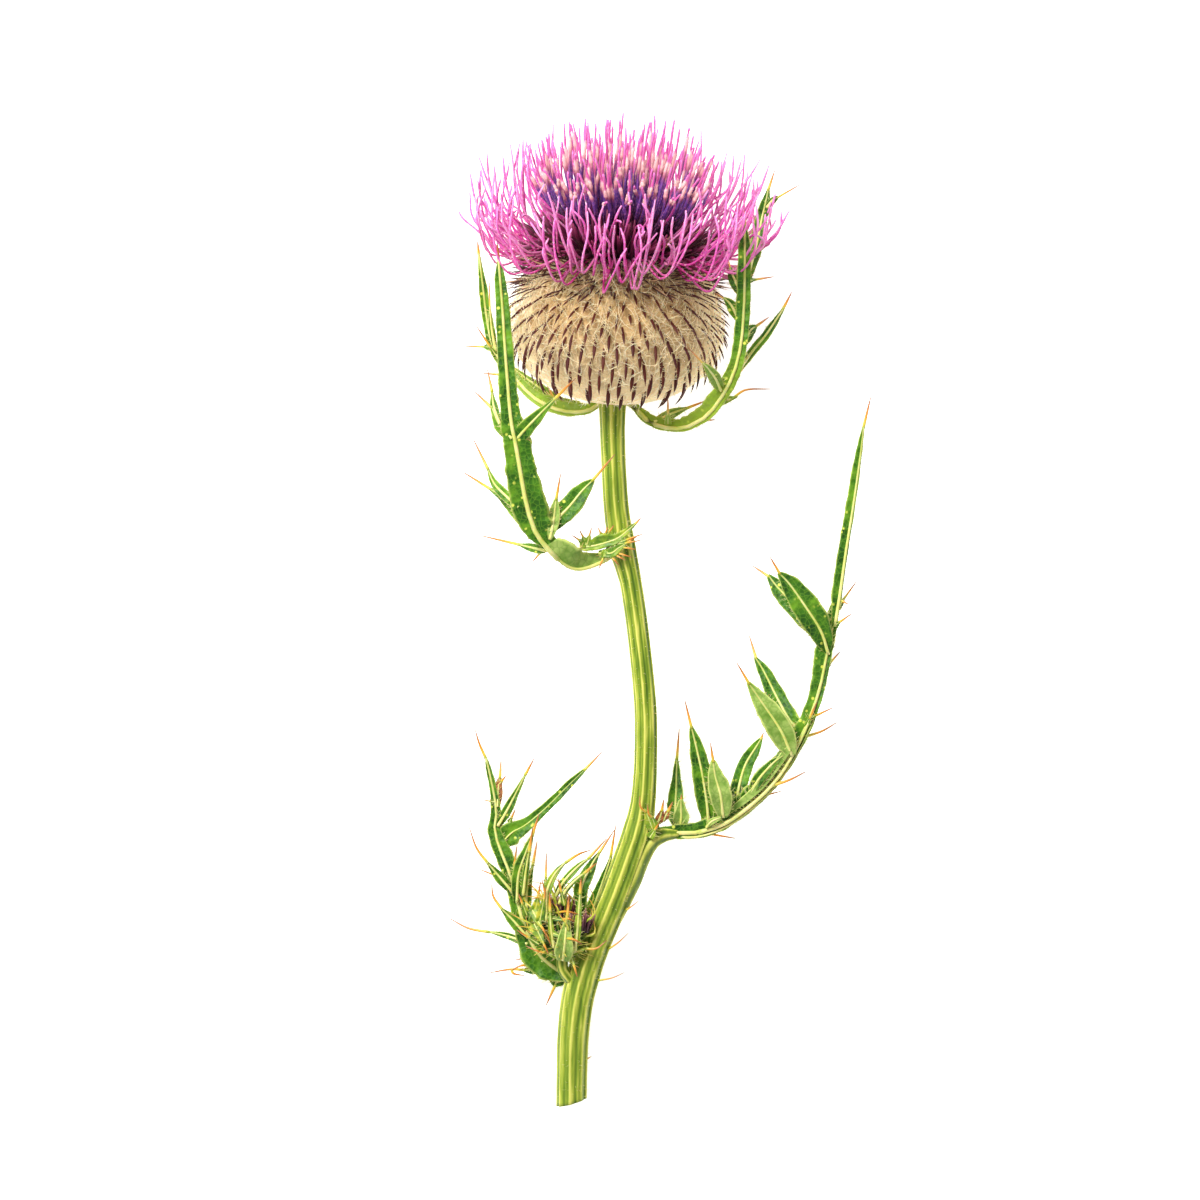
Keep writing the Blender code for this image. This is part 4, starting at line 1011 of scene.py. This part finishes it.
def build_wool_body():
    """The felted globe under the loose hairs: a turned shell with an uneven surface and a closed throat."""
    bm = bmesh.new()
    heights = np.linspace(0.5, RIM_HEIGHT, 34)
    profile = [(float(globe_radius(h)) - WOOL_DEPTH, max(h, WOOL_DEPTH * (1 - h / 9))) for h in heights]
    outline = [(0, 3), (3, 2.9), *profile, (14.4, 37.4), (9, 35), (0, 33.6)]
    corners = [bm.verts.new((r, 0, h)) for r, h in outline]
    edges = [bm.edges.new(pair) for pair in zip(corners, corners[1:])]
    bmesh.ops.spin(bm, geom=corners + edges, axis=(0, 0, 1), cent=(0, 0, 0), dvec=(0, 0, 0),
                   angle=FULL_TURN, steps=WOOL_STEPS, use_merge=True)
    bmesh.ops.remove_doubles(bm, verts=bm.verts, dist=0.02)
    for v in bm.verts:
        out = Vector((v.co.x, v.co.y, v.co.z - GLOBE_MIDDLE))
        if out.length > 5:
            rough = noise.noise(v.co * 0.35) * 0.7 + noise.noise(v.co * 1.1) * 0.4
            v.co += out.normalized() * rough
    bmesh.ops.recalc_face_normals(bm, faces=bm.faces)
    bm.transform(HEAD)
    for v in bm.verts:
        v.co.z = max(v.co.z, FLOOR_CLEARANCE)
    bm.transform(Matrix.Scale(MM, 4))
    mesh = bpy.data.meshes.new("wool_body")
    bm.to_mesh(mesh)
    bm.free()
    mesh.shade_smooth()
    # The side attribute carries painted backlight: creamy colour and glow on the head's sides and underside.
    set_attribute(mesh, "side", [float(painted_backlight_share(v.normal.z)) for v in mesh.vertices])
    add_piece("wool_body", mesh, [wool_ground()])


def build_wool_web():
    """Cobweb: long fine hairs that wander over the globe, arching from bract to bract."""
    rng = np.random.default_rng(21)
    count, rings = WEB_HAIRS, 7
    height = 0.8 + (RIM_HEIGHT + 0.4) * rng.random(count)
    turn = rng.uniform(0, FULL_TURN, count)
    heading = rng.uniform(0, FULL_TURN, count)
    drift = rng.uniform(-0.5, 0.5, count)
    step = rng.uniform(4, 12, count) / rings
    depth = WOOL_DEPTH * (0.95 - rng.random(count) ** 0.6)
    lift = rng.uniform(0.1, 1.0, count)
    places = []
    for k in range(rings):
        arch = lift * math.sin(math.pi * k / (rings - 1))
        places.append(round_axis(globe_radius(height) - depth + arch, turn, height))
        height = np.clip(height + step * np.sin(heading), 0.6, RIM_HEIGHT + 1)
        turn = turn + step * np.cos(heading) / np.maximum(globe_radius(height), 4)
        heading = heading + drift * rng.uniform(0.4, 1.6, count)
    paths = on_head(np.stack(places, axis=1))
    mesh = strand_mesh("wool_web", paths, cone_widths(rings, 0.085, 0.06), 3,
                       tones=wool_tones_with_painted_light(paths, rng))
    add_piece("wool_web", mesh, [wool_hair()])


def build_wool_fuzz():
    """Short hairs that stand and lean all through the loose layer, and stick out a little at its edge."""
    rng = np.random.default_rng(22)
    count, rings = FUZZ_HAIRS, 4
    height = 0.6 + (RIM_HEIGHT + 0.6) * rng.random(count)
    turn = rng.uniform(0, FULL_TURN, count)
    out = globe_normal(height, turn)
    root = round_axis(globe_radius(height), turn, height) - out * (WOOL_DEPTH * rng.random(count))[:, None]
    lean = unit(out * rng.uniform(0.1, 1.0, (count, 1)) + rng.normal(0, 0.7, (count, 3)))
    curl = rng.normal(0, 0.5, (count, 3))
    length = rng.uniform(1.2, 3.0, count)
    along = np.linspace(0, 1, rings)
    reach = (length[:, None] * along)[..., None]
    places = root[:, None] + lean[:, None] * reach + curl[:, None] * along[:, None] ** 2
    paths = on_head(places)
    mesh = strand_mesh("wool_fuzz", paths, cone_widths(rings, 0.055, 0.035), 3,
                       tones=wool_tones_with_painted_light(paths, rng))
    add_piece("wool_fuzz", mesh, [bpy.data.materials["wool_hair"]])


def build_bracts():
    """Dark bract tips in the golden spiral, one piece for each row, all fanning away from the head's top."""
    rng = np.random.default_rng(5)
    finish = bract_finish()
    total, rings = BRACTS, 9
    number = np.arange(total)
    share = (number + 0.5) / total
    height = 1.6 + (RIM_HEIGHT - 2.6) * share**0.92
    turn = number * GOLDEN_TURN
    radius = globe_radius(height)
    out = globe_normal(height, turn)
    tip = round_axis(radius, turn, height) + out * rng.uniform(1.7, 2.7, (total, 1))
    fan = unit(tip - np.array([0, 0, FAN_HEIGHT]))
    down = unit(np.cross(np.cross(out, np.array([0, 0, -1.0])), out))
    droop = np.interp(height, [0, 8, 18, 30], [0.7, 0.45, 0.12, -0.05])[:, None]
    away = unit(0.6 * fan + droop * down + rng.normal(0, 0.04, (total, 3)))
    length = rng.uniform(6.8, 8.4, total)
    along = np.linspace(0, 1, rings)
    base = tip - away * length[:, None]
    bend = (0.10 * length)[:, None, None] * (along * (1 - along) * 4)[None, :, None] * out[:, None, :]
    paths = base[:, None, :] + away[:, None, :] * (length[:, None] * along)[..., None] + bend
    shape = np.array([0.26, 0.34, 0.46, 0.56, 0.62, 0.60, 0.46, 0.22, 0.05])
    broad = rng.uniform(0.85, 1.15, total) * np.interp(share, [0, 0.4, 0.8, 1], [0.9, 0.7, 0.52, 0.46])
    widths = shape[None, :] * broad[:, None]
    facing = unit(np.cross(np.cross(away, out), away))
    row = np.minimum((share * ROWS).astype(int), ROWS - 1)
    for k in range(ROWS):
        mine = row == k
        mesh = strand_mesh(
            f"bracts_row_{k + 1:02d}", on_head(paths[mine]), widths[mine], 6, flatness=0.5,
            facing=facing[mine] @ HEAD_TURN.T, tones=rng.random(mine.sum()))
        add_piece(f"bracts_row_{k + 1:02d}", mesh, [finish], [f"bract_row_{k + 1:02d}"])


def build_whiskers():
    """Long narrow inner bracts round the rim."""
    rng = np.random.default_rng(8)
    total, rings = WHISKERS, 8
    height = rng.uniform(31.0, 40.4, total)
    turn = rng.uniform(0, FULL_TURN, total)
    base = round_axis(globe_radius(np.minimum(height, 37)) - 4.5, turn, height - 0.5)
    rise = np.interp(height, [31, 39.5], [-0.28, 0.42])
    out = unit(round_axis(1, turn, rise) + rng.normal(0, 0.13, (total, 3)))
    along = np.linspace(0, 1, rings)
    length = rng.uniform(8.0, 12.5, total)
    curl = np.zeros((total, rings, 3))
    curl[..., 2] = rng.uniform(-0.4, 2.0, total)[:, None] * along**2
    paths = base[:, None, :] + out[:, None, :] * (length[:, None] * along)[..., None] + curl
    widths = np.array([0.3, 0.3, 0.31, 0.32, 0.3, 0.24, 0.15, 0.04])
    mesh = strand_mesh("rim_whiskers", on_head(paths), widths, 4, flatness=0.6)
    add_piece("rim_whiskers", mesh, [whisker_finish()])


def bumpy(widths, rng, count, amount):
    """Radii with the grains of pollen that cling to a floret."""
    return widths[None, :] * (1 + rng.uniform(-amount, amount, (count, len(widths))))


def curves(keys, rings):
    """For each strand, a smooth curve through its key places, which stand along the first axis."""
    keys = np.stack(keys, axis=1)
    return np.array([smooth_path([Vector(p) for p in row], rings - 1) for row in keys])


def wiggled(paths, rng, amount):
    """Strands with a gentle random waver that grows towards their tips."""
    along = np.linspace(0, 1, paths.shape[1])[None, :, None]
    rate = rng.uniform(0.8, 2.6, (len(paths), 1, 3))
    start = rng.uniform(0, 1, (len(paths), 1, 3))
    return paths + amount * np.sin(FULL_TURN * (rate * along + start)) * along**0.7


def towards_sky(turn):
    """1 on the side of the head that looks up from the floor, 0 at its sides and below."""
    return np.clip(-np.sin(turn), 0, 1)


def build_corollas():
    """Tubes packed in the throat, painted dark: near-black low down as painted shade deep in the head, over
    their own maroon.
    """
    rng = np.random.default_rng(31)
    count, rings = COROLLAS, 6
    share = np.sqrt((np.arange(count) + 0.5) / count)
    turn = np.arange(count) * GOLDEN_TURN
    top = rng.uniform(45, 53, count) - 7.5 * share**2
    keys = [
        round_axis(0.5 + 14 * share, turn, 33.5), round_axis(1 + 17.5 * share, turn, 40 - 1.5 * share),
        round_axis(1 + 26.5 * share**1.4 + rng.normal(0, 1, count), turn + rng.normal(0, 0.05, count), top)]
    widths = bumpy(np.array([0.5, 0.55, 0.6, 0.62, 0.6, 0.2]), rng, count, 0.1)
    mesh = strand_mesh("corolla_tubes", on_head(curves(keys, rings)), widths, 5)
    add_piece("corolla_tubes", mesh, [corolla_finish()], ["floret_ring_1"])


def build_inner_florets():
    """Upright florets: a tube painted dark with shade deep in the head, a violet anther column, a knob of
    pollen and a pale style on top.
    """
    rng = np.random.default_rng(32)
    count, rings = INNER_FLORETS, 30
    share = np.sqrt((np.arange(count) + 0.5) / count)
    turn = np.arange(count) * GOLDEN_TURN + rng.normal(0, 0.06, count)
    top = rng.uniform(66, 74, count) - 10 * share**2.4 - 5 * towards_sky(turn) * share
    keys = [round_axis(0.5 + 12.5 * share, turn, 35), round_axis(0.6 + 15 * share, turn, 44),
            round_axis(0.7 + 20 * share**1.1, turn + rng.normal(0, 0.03, count), 54 - 3.5 * share),
            round_axis(0.8 + 24.5 * share**1.15 + rng.normal(0, 1.1, count),
                       turn + rng.normal(0, 0.06, count), top)]
    along = np.linspace(0, 1, rings)
    paths = wiggled(curves(keys, rings), rng, 0.3)
    knob = rng.uniform(0.75, 0.93, count)
    for path, place in zip(paths, knob):
        moved = np.interp(along, [0, 0.34, 0.56, 0.80, 1], [0, 0.42, place - 0.04, place + 0.04, 1])
        path[:] = np.stack([np.interp(moved, along, path[:, axis].copy()) for axis in range(3)], axis=1)
    widths = np.interp(along, [0, 0.34, 0.42, 0.54, 0.58, 0.76, 0.81, 0.97, 1],
                       [0.38, 0.38, 0.38, 0.34, 0.48, 0.44, 0.28, 0.27, 0.17])
    grains = bumpy(widths, rng, count, 0.24)
    mesh = strand_mesh("inner_florets", on_head(paths), grains, 6)
    add_piece("inner_florets", mesh, [inner_floret_finish()],
              ["floret_ring_2", "floret_ring_3"])


# Count, seed, then for the rim, the sweep outwards and the tip (distance from the axis, height), and how much
# lower the sweep and the tip are on the side towards the sky.
OUTER_FLORETS = [
    (46, 41, 12.5, (21.5, 45.5), (27.0, 63.0), (1.0, 10.0)),
    (84, 42, 14.5, (28.5, 41.5), (34.0, 58.0), (2.0, 7.5)),
    (108, 43, 16.5, (34.0, 39.5), (37.8, 49.5), (3.5, 0.5)),
]


def build_outer_florets():
    """Pink florets that leave the rim, sweep outwards and turn up, in three rings."""
    finish = outer_floret_finish()
    rings = 28
    shape = np.interp(np.linspace(0, 1, rings), [0, 0.2, 0.5, 0.55, 0.93, 1],
                      [0.36, 0.32, 0.28, 0.3, 0.3, 0.18])
    for ring, (count, seed, rim, sweep, end, lower) in enumerate(OUTER_FLORETS):
        rng = np.random.default_rng(seed)
        turn = np.arange(count) * GOLDEN_TURN + rng.normal(0, 0.05, count)
        sky = towards_sky(turn)
        veer = rng.normal(0, 0.09, count)
        low = rng.normal(0, 1.8, count) - lower[0] * sky * rng.uniform(0.2, 1.3, count)
        r_out = sweep[0] + rng.normal(0, 1.8, count) - 2 * sky
        r_tip = end[0] + rng.normal(0, 1.9, count) - 2.5 * sky
        h_tip = end[1] + rng.normal(0, 3.4, count) - lower[1] * sky
        h_out = sweep[1] + low
        keys = [
            round_axis(rim - 2, turn, 35.5), round_axis(rim + 2.5, turn, 39 + low * 0.2),
            round_axis(r_out - 4.5, turn + veer * 0.4, h_out - 2.6),
            round_axis(r_out, turn + veer * 0.8, h_out + 1.5),
            round_axis(0.5 * (r_out + r_tip) + 1.2 + rng.normal(0, 0.6, count), turn + veer * 1.2,
                       0.5 * (h_out + h_tip) + 1),
            round_axis(r_tip, turn + veer * 1.5 + rng.normal(0, 0.03, count), h_tip)]
        mesh = strand_mesh(f"outer_florets_{ring + 1}", on_head(wiggled(curves(keys, rings), rng, 0.28)),
                           bumpy(shape, rng, count, 0.2), 5, tones=rng.random(count))
        add_piece(f"outer_florets_{ring + 1}", mesh, [finish], [f"floret_ring_{ring + 4}"])


# ================================================================ side bud and shoot
BUD_PLACE = Vector((-24.4, -80.4, 12.4))
BUD_RADIUS = 4.8
BUD = Matrix.Translation(BUD_PLACE) @ Matrix.Rotation(math.radians(-90), 4, "X")
BUD_TURN = np.array(BUD.to_3x3())
BUD_SCALES, TUFT_FLORETS, BUD_NEEDLES = 170, 120, 56
BUD_RINGS = 7


def on_bud(places):
    """Places measured from the middle of the bud, with its axis up, put where the bud is."""
    return np.asarray(places) @ BUD_TURN.T + np.array(BUD_PLACE)


def build_bud_body():
    bm = bmesh.new()
    bmesh.ops.create_uvsphere(bm, u_segments=40, v_segments=24, radius=BUD_RADIUS)
    for v in bm.verts:
        v.co *= 1 + 0.05 * noise.noise(v.co * 0.9)
    bm.transform(Matrix.Scale(MM, 4) @ BUD)
    mesh = bpy.data.meshes.new("bud_body")
    bm.to_mesh(mesh)
    bm.free()
    mesh.shade_smooth()
    add_piece("bud_body", mesh, [bud_green_finish()], ["bud_involucre"])


def build_bud_scales(rng):
    """Narrow green scales with yellow tips all over the bud."""
    count = BUD_SCALES
    share = (np.arange(count) + 0.5) / count
    lean = math.pi * (0.92 - 0.54 * share)
    turn = np.arange(count) * GOLDEN_TURN
    out = round_axis(np.sin(lean), turn, np.cos(lean))
    up_way = unit(np.array([0, 0, 1.0]) - out * out[:, 2:3])
    away = unit(out * 0.55 + up_way * 0.75 + rng.normal(0, 0.22, (count, 3)))
    length = rng.uniform(3.4, 6.4, count)
    along = np.linspace(0, 1, BUD_RINGS)
    local = (out * (BUD_RADIUS - 0.3))[:, None, :] + away[:, None, :] * (length[:, None] * along)[..., None]
    widths = np.array([0.5, 0.5, 0.42, 0.32, 0.2, 0.12, 0.03])
    mesh = strand_mesh("bud_scales", on_bud(local), widths, 4, flatness=0.45, facing=out @ BUD_TURN.T)
    add_piece("bud_scales", mesh, [bud_scale_finish()])


def build_bud_tuft(rng):
    """The brown tips of the unopened florets, in two tufts side by side."""
    count = TUFT_FLORETS
    turn = np.arange(count) * GOLDEN_TURN
    reach = np.sqrt((np.arange(count) + 0.5) / count)
    low = round_axis(2.3 * reach, turn, 2.4)
    high = round_axis(4.2 * reach + rng.normal(0, 0.25, count), turn, 9.0 - 1.6 * reach**2)
    high = high + rng.normal(0, 0.5, (count, 3))
    along = np.linspace(0, 1, BUD_RINGS)
    local = low[:, None, :] + (high - low)[:, None, :] * along[None, :, None]
    paths = on_bud(local)
    middle = np.array(BUD_PLACE) + np.array([0, 3, 2])
    second = (paths[::2] - middle) * 0.85 + middle + np.array([4.4, -2.4, 3.0])
    mesh = strand_mesh("bud_tuft", np.concatenate([paths, second]), cone_widths(BUD_RINGS, 0.26, 0.16), 4)
    add_piece("bud_tuft", mesh, [bud_floret_finish()], ["bud_florets"])


def build_bud_stalk():
    stalk = smooth_path([(-22.4, -92.6, 9.6), (-24.4, -89.6, 11), (-24.6, -86, 12), (-24.5, -84, 12.3)], 12)
    mesh = strand_mesh("bud_stalk_skin", [stalk], cone_widths(13, 1.3, 1.5), 24, facing=(0, 0, 1),
                       ridges=lambda angle: 1 + 0.06 * np.cos(6 * angle))
    add_piece("bud_stalk_skin", mesh, [bpy.data.materials["stem_skin"]], ["bud_stalk"])


def build_bud_needles():
    """Thin yellow-green needles that cross one another round the bud."""
    rng = np.random.default_rng(52)
    count, rings = BUD_NEEDLES, 9
    turn = rng.uniform(0, FULL_TURN, count)
    lean = rng.uniform(0.25, 2.0, count)
    out = round_axis(np.sin(lean), turn, np.cos(lean))
    start = out * (BUD_RADIUS - 1)
    length = rng.uniform(5.5, 11.5, count)
    middle = start + out * (0.6 * length)[:, None] + np.array([0, 0, 1.6])
    tip = start + unit(out + np.array([0, 0, 0.8]) + rng.normal(0, 0.35, (count, 3))) * length[:, None]
    tip[:, 0] -= 1.5
    mesh = strand_mesh("bud_needles", on_bud(curves([start, middle, tip], rings)),
                       np.interp(np.linspace(0, 1, rings), [0, 0.3, 0.6, 1], [0.6, 0.6, 0.34, 0.06]), 5,
                       flatness=0.5)
    add_piece("bud_needles", mesh, [needle_finish()])


def build_bud_front_bract():
    leaf = Leaf("bud_front_bract", ["bud_bract_1"], 61)
    leaf.lobe([(-24.4, -87.2, 14.8), (-24.0, -83.4, 18.2), (-23.6, -79, 19.2), (-23.2, -75.6, 19.2),
               (-22.9, -70.6, 19)], 5.0, under=True, sink=0, shape=(0.55, 1.0, 0.95, 0.7, 0.45, 0.3, 0.1))
    leaf.finish()


def build_bud_upright_bract():
    leaf = Leaf("bud_upright_bract", ["bud_bract_2"], 62)
    leaf.lobe([(-21.4, -85, 16.4), (-20.8, -80, 18), (-20.4, -74.4, 18.4), (-20.1, -70, 18.2),
               (-19.8, -65.8, 18)], 1.8)
    leaf.lobe([(-26.6, -84, 16.8), (-27.4, -79, 18.4), (-27.6, -74.4, 19), (-27.8, -70, 19)], 1.6)
    leaf.finish(materials=[FRESH, LEAF_UNDER])


def build_bud_arching_bract():
    leaf = Leaf("bud_arching_bract", ["bud_bract_3"], 63)
    leaf.lobe([(-28.6, -77.4, 17.4), (-28.4, -70, 18.2), (-26.4, -65.4, 18.4), (-23.4, -62.2, 18),
               (-17.4, -59.5, 16)], 2.0, bend=(0.2, 0.6, 0.2))
    leaf.finish(materials=[FRESH, LEAF_UNDER])


def build_bud_right_bract():
    leaf = Leaf("bud_right_bract", ["bud_bract_4"], 64)
    leaf.lobe([(-20, -75, 15.8), (-19.8, -69.0, 16.4), (-17.4, -63.6, 16.2), (-15.2, -60.0, 15.8),
               (-11.5, -54.5, 15.2)], 3.6)
    leaf.lobe([(-26.4, -71.4, 16), (-24.2, -67.4, 17.2), (-20.4, -63.4, 17), (-17.6, -61.4, 16.6),
               (-13.4, -56.6, 16)], 1.8)
    leaf.lobe([(-25.4, -73, 17), (-23.6, -69.4, 18.4), (-20.6, -66.4, 18.4), (-18.8, -65.2, 18.2),
               (-15.8, -62.6, 17.6)], 1.3)
    leaf.finish()


def build_bud_low_bract():
    leaf = Leaf("bud_low_bract", ["bud_bract_5"], 65)
    leaf.prickle((-22.6, -85.8, 14.6), (-13.4, -82.2, 16.2), bend=(0.2, -0.9, 0.4), width=1.5, green=0.5)
    leaf.prickle((-24.6, -86.6, 15), (-33.8, -83.6, 14.6), bend=(0.2, -0.4, 0.6), width=1.6, green=0.5)
    leaf.prickle((-22.2, -86.6, 14.6), (-20.8, -91.4, 15.2), width=1.2, green=0.4)
    leaf.finish(materials=[FRESH, LEAF_UNDER])


def build_bud_thin_bracts():
    leaf = Leaf("bud_thin_bract", ["bud_bract_6"], 66)
    leaf.prickle((-28.8, -70, 12.6), (-28.6, -60.4, 11.8), width=1.3, green=0.4)
    leaf.prickle((-31.6, -75, 14), (-20.4, -75.6, 18.8), bend=(0, 0.6, 1.6), width=1.4, green=0.6)
    leaf.prickle((-32.4, -74, 14.4), (-27.4, -83.6, 18), bend=(0.4, 0, 1.2), width=1.4, green=0.6)
    leaf.prickle((-27.4, -77, 17), (-29.6, -67, 19), width=1.4, green=0.6)
    leaf.prickle((-32.6, -80.4, 12), (-28.6, -72.4, 17.4), width=1.8, green=0.6)
    leaf.finish(materials=[FRESH, LEAF_UNDER])


def build_bud_yellow_scales():
    leaf = Leaf("bud_yellow_scales", [], 67)
    leaf.prickle((-31.8, -77.6, 15.2), (-30.0, -67.4, 17.8), width=3.0, green=0.7)
    leaf.prickle((-31.6, -78.0, 16.4), (-28.0, -85.6, 18.0), width=3.2, green=0.7)
    leaf.prickle((-32.2, -74.4, 16.0), (-28.4, -81.4, 19.4), bend=(0, 0.4, 1), width=2.4, green=0.7)
    leaf.prickle((-30.2, -77.4, 17.4), (-28.6, -68.6, 19.8), width=2.4, green=0.7)
    leaf.prickle((-28.6, -76.4, 17.4), (-21.4, -77.4, 20.6), bend=(0, 0.6, 1), width=1.6, green=0.7)
    leaf.prickle((-33.4, -76.0, 14.4), (-35.6, -70.4, 16.4), width=2.0, green=0.6)
    leaf.prickle((-30.4, -83.2, 15.2), (-36.0, -79.6, 16.4), width=1.6, green=0.5)
    leaf.prickle((-27.2, -80.2, 18.0), (-19.6, -83.0, 19.6), bend=(0, 0.4, 1), width=1.5, green=0.6)
    leaf.prickle((-24.0, -73.4, 17.8), (-25.6, -66.6, 19.6), width=1.2, green=0.6)
    leaf.finish("bud_green", [bud_leaf_finish(), LEAF_UNDER])


def build_sprout():
    """Two small brown leaves in the axil of the right leaf."""
    leaf = Leaf("young_shoot", ["axil_sprout"], 71)
    leaf.lobe([(-0.6, -52.8, 13.4), (0.1, -51, 14.6), (0.6, -49.2, 15.2), (0.9, -46.8, 16)], 2.2, vein=0.3)
    leaf.lobe([(0.8, -52.2, 14), (1.6, -50.6, 14.8), (2.2, -49.4, 15.2), (3.2, -47.4, 15.8)], 1.6, vein=0.3)
    leaf.finish("sprout", [DRY, DRY])


# ================================================================ stage
FLOOR_SIZE = 6
SKY_STRENGTH = 0.55
LAMP_SIZE, LAMP_POWER = 0.5, 30
LAMP_PLACE = (-0.55, 0.75, 1.1)
SENSOR_WIDTH = 36
VIEW_WIDTH = 0.300
VIEW_DISTANCE = 2.5
VIEW_LEVEL = 0.028
VIEW_CENTRE = (-0.0151, 0.0033)


def build_floor():
    bm = bmesh.new()
    bmesh.ops.create_grid(bm, x_segments=1, y_segments=1, size=FLOOR_SIZE)
    mesh = bpy.data.meshes.new("floor")
    bm.to_mesh(mesh)
    bm.free()
    mesh.materials.append(floor_finish())
    floor = bpy.data.objects.new("floor", mesh)
    bpy.context.scene.collection.objects.link(floor)


def build_light():
    """An even white sky and one large soft lamp."""
    world = bpy.data.worlds.new("soft_sky")
    world.use_nodes = True
    sky = world.node_tree.nodes["Background"]
    sky.inputs["Color"].default_value = (1, 1, 1, 1)
    sky.inputs["Strength"].default_value = SKY_STRENGTH
    bpy.context.scene.world = world

    lamp = bpy.data.lights.new("soft_key", "AREA")
    lamp.size = LAMP_SIZE
    lamp.energy = LAMP_POWER
    key = bpy.data.objects.new("soft_key", lamp)
    key.location = LAMP_PLACE
    key.rotation_euler = (-key.location).to_track_quat("-Z", "Y").to_euler()
    bpy.context.scene.collection.objects.link(key)


def build_camera():
    """The camera looks straight down."""
    lens = bpy.data.cameras.new("camera")
    lens.lens, lens.sensor_width = VIEW_DISTANCE / VIEW_WIDTH * SENSOR_WIDTH, SENSOR_WIDTH
    lens.clip_start, lens.clip_end = 0.1, 20
    camera = bpy.data.objects.new("camera", lens)
    camera.location = (VIEW_CENTRE[0], VIEW_CENTRE[1], VIEW_DISTANCE + VIEW_LEVEL)
    bpy.context.scene.collection.objects.link(camera)
    bpy.context.scene.camera = camera
    bpy.context.scene.view_settings.view_transform = "Standard"


stem_line, stem_radii = build_stem()
build_stem_hairs(stem_line, stem_radii)
build_stem_prickles()
build_right_long_leaf()
build_right_leaf_auricle()
build_right_leaf_foot()
build_upper_left_leaf()
build_upper_left_auricle()
build_head_leaf_right()
build_head_leaf_left()
build_lower_left_leaf()
build_dry_lobe()
build_small_back_leaf()
build_wool_body()
build_wool_web()
build_wool_fuzz()
build_bracts()
build_whiskers()
build_corollas()
build_inner_florets()
build_outer_florets()
build_bud_body()
bud_chance = np.random.default_rng(51)
build_bud_scales(bud_chance)
build_bud_tuft(bud_chance)
build_bud_stalk()
build_bud_needles()
build_bud_front_bract()
build_bud_upright_bract()
build_bud_arching_bract()
build_bud_right_bract()
build_bud_low_bract()
build_bud_thin_bracts()
build_bud_yellow_scales()
build_sprout()
build_floor()
build_light()
build_camera()
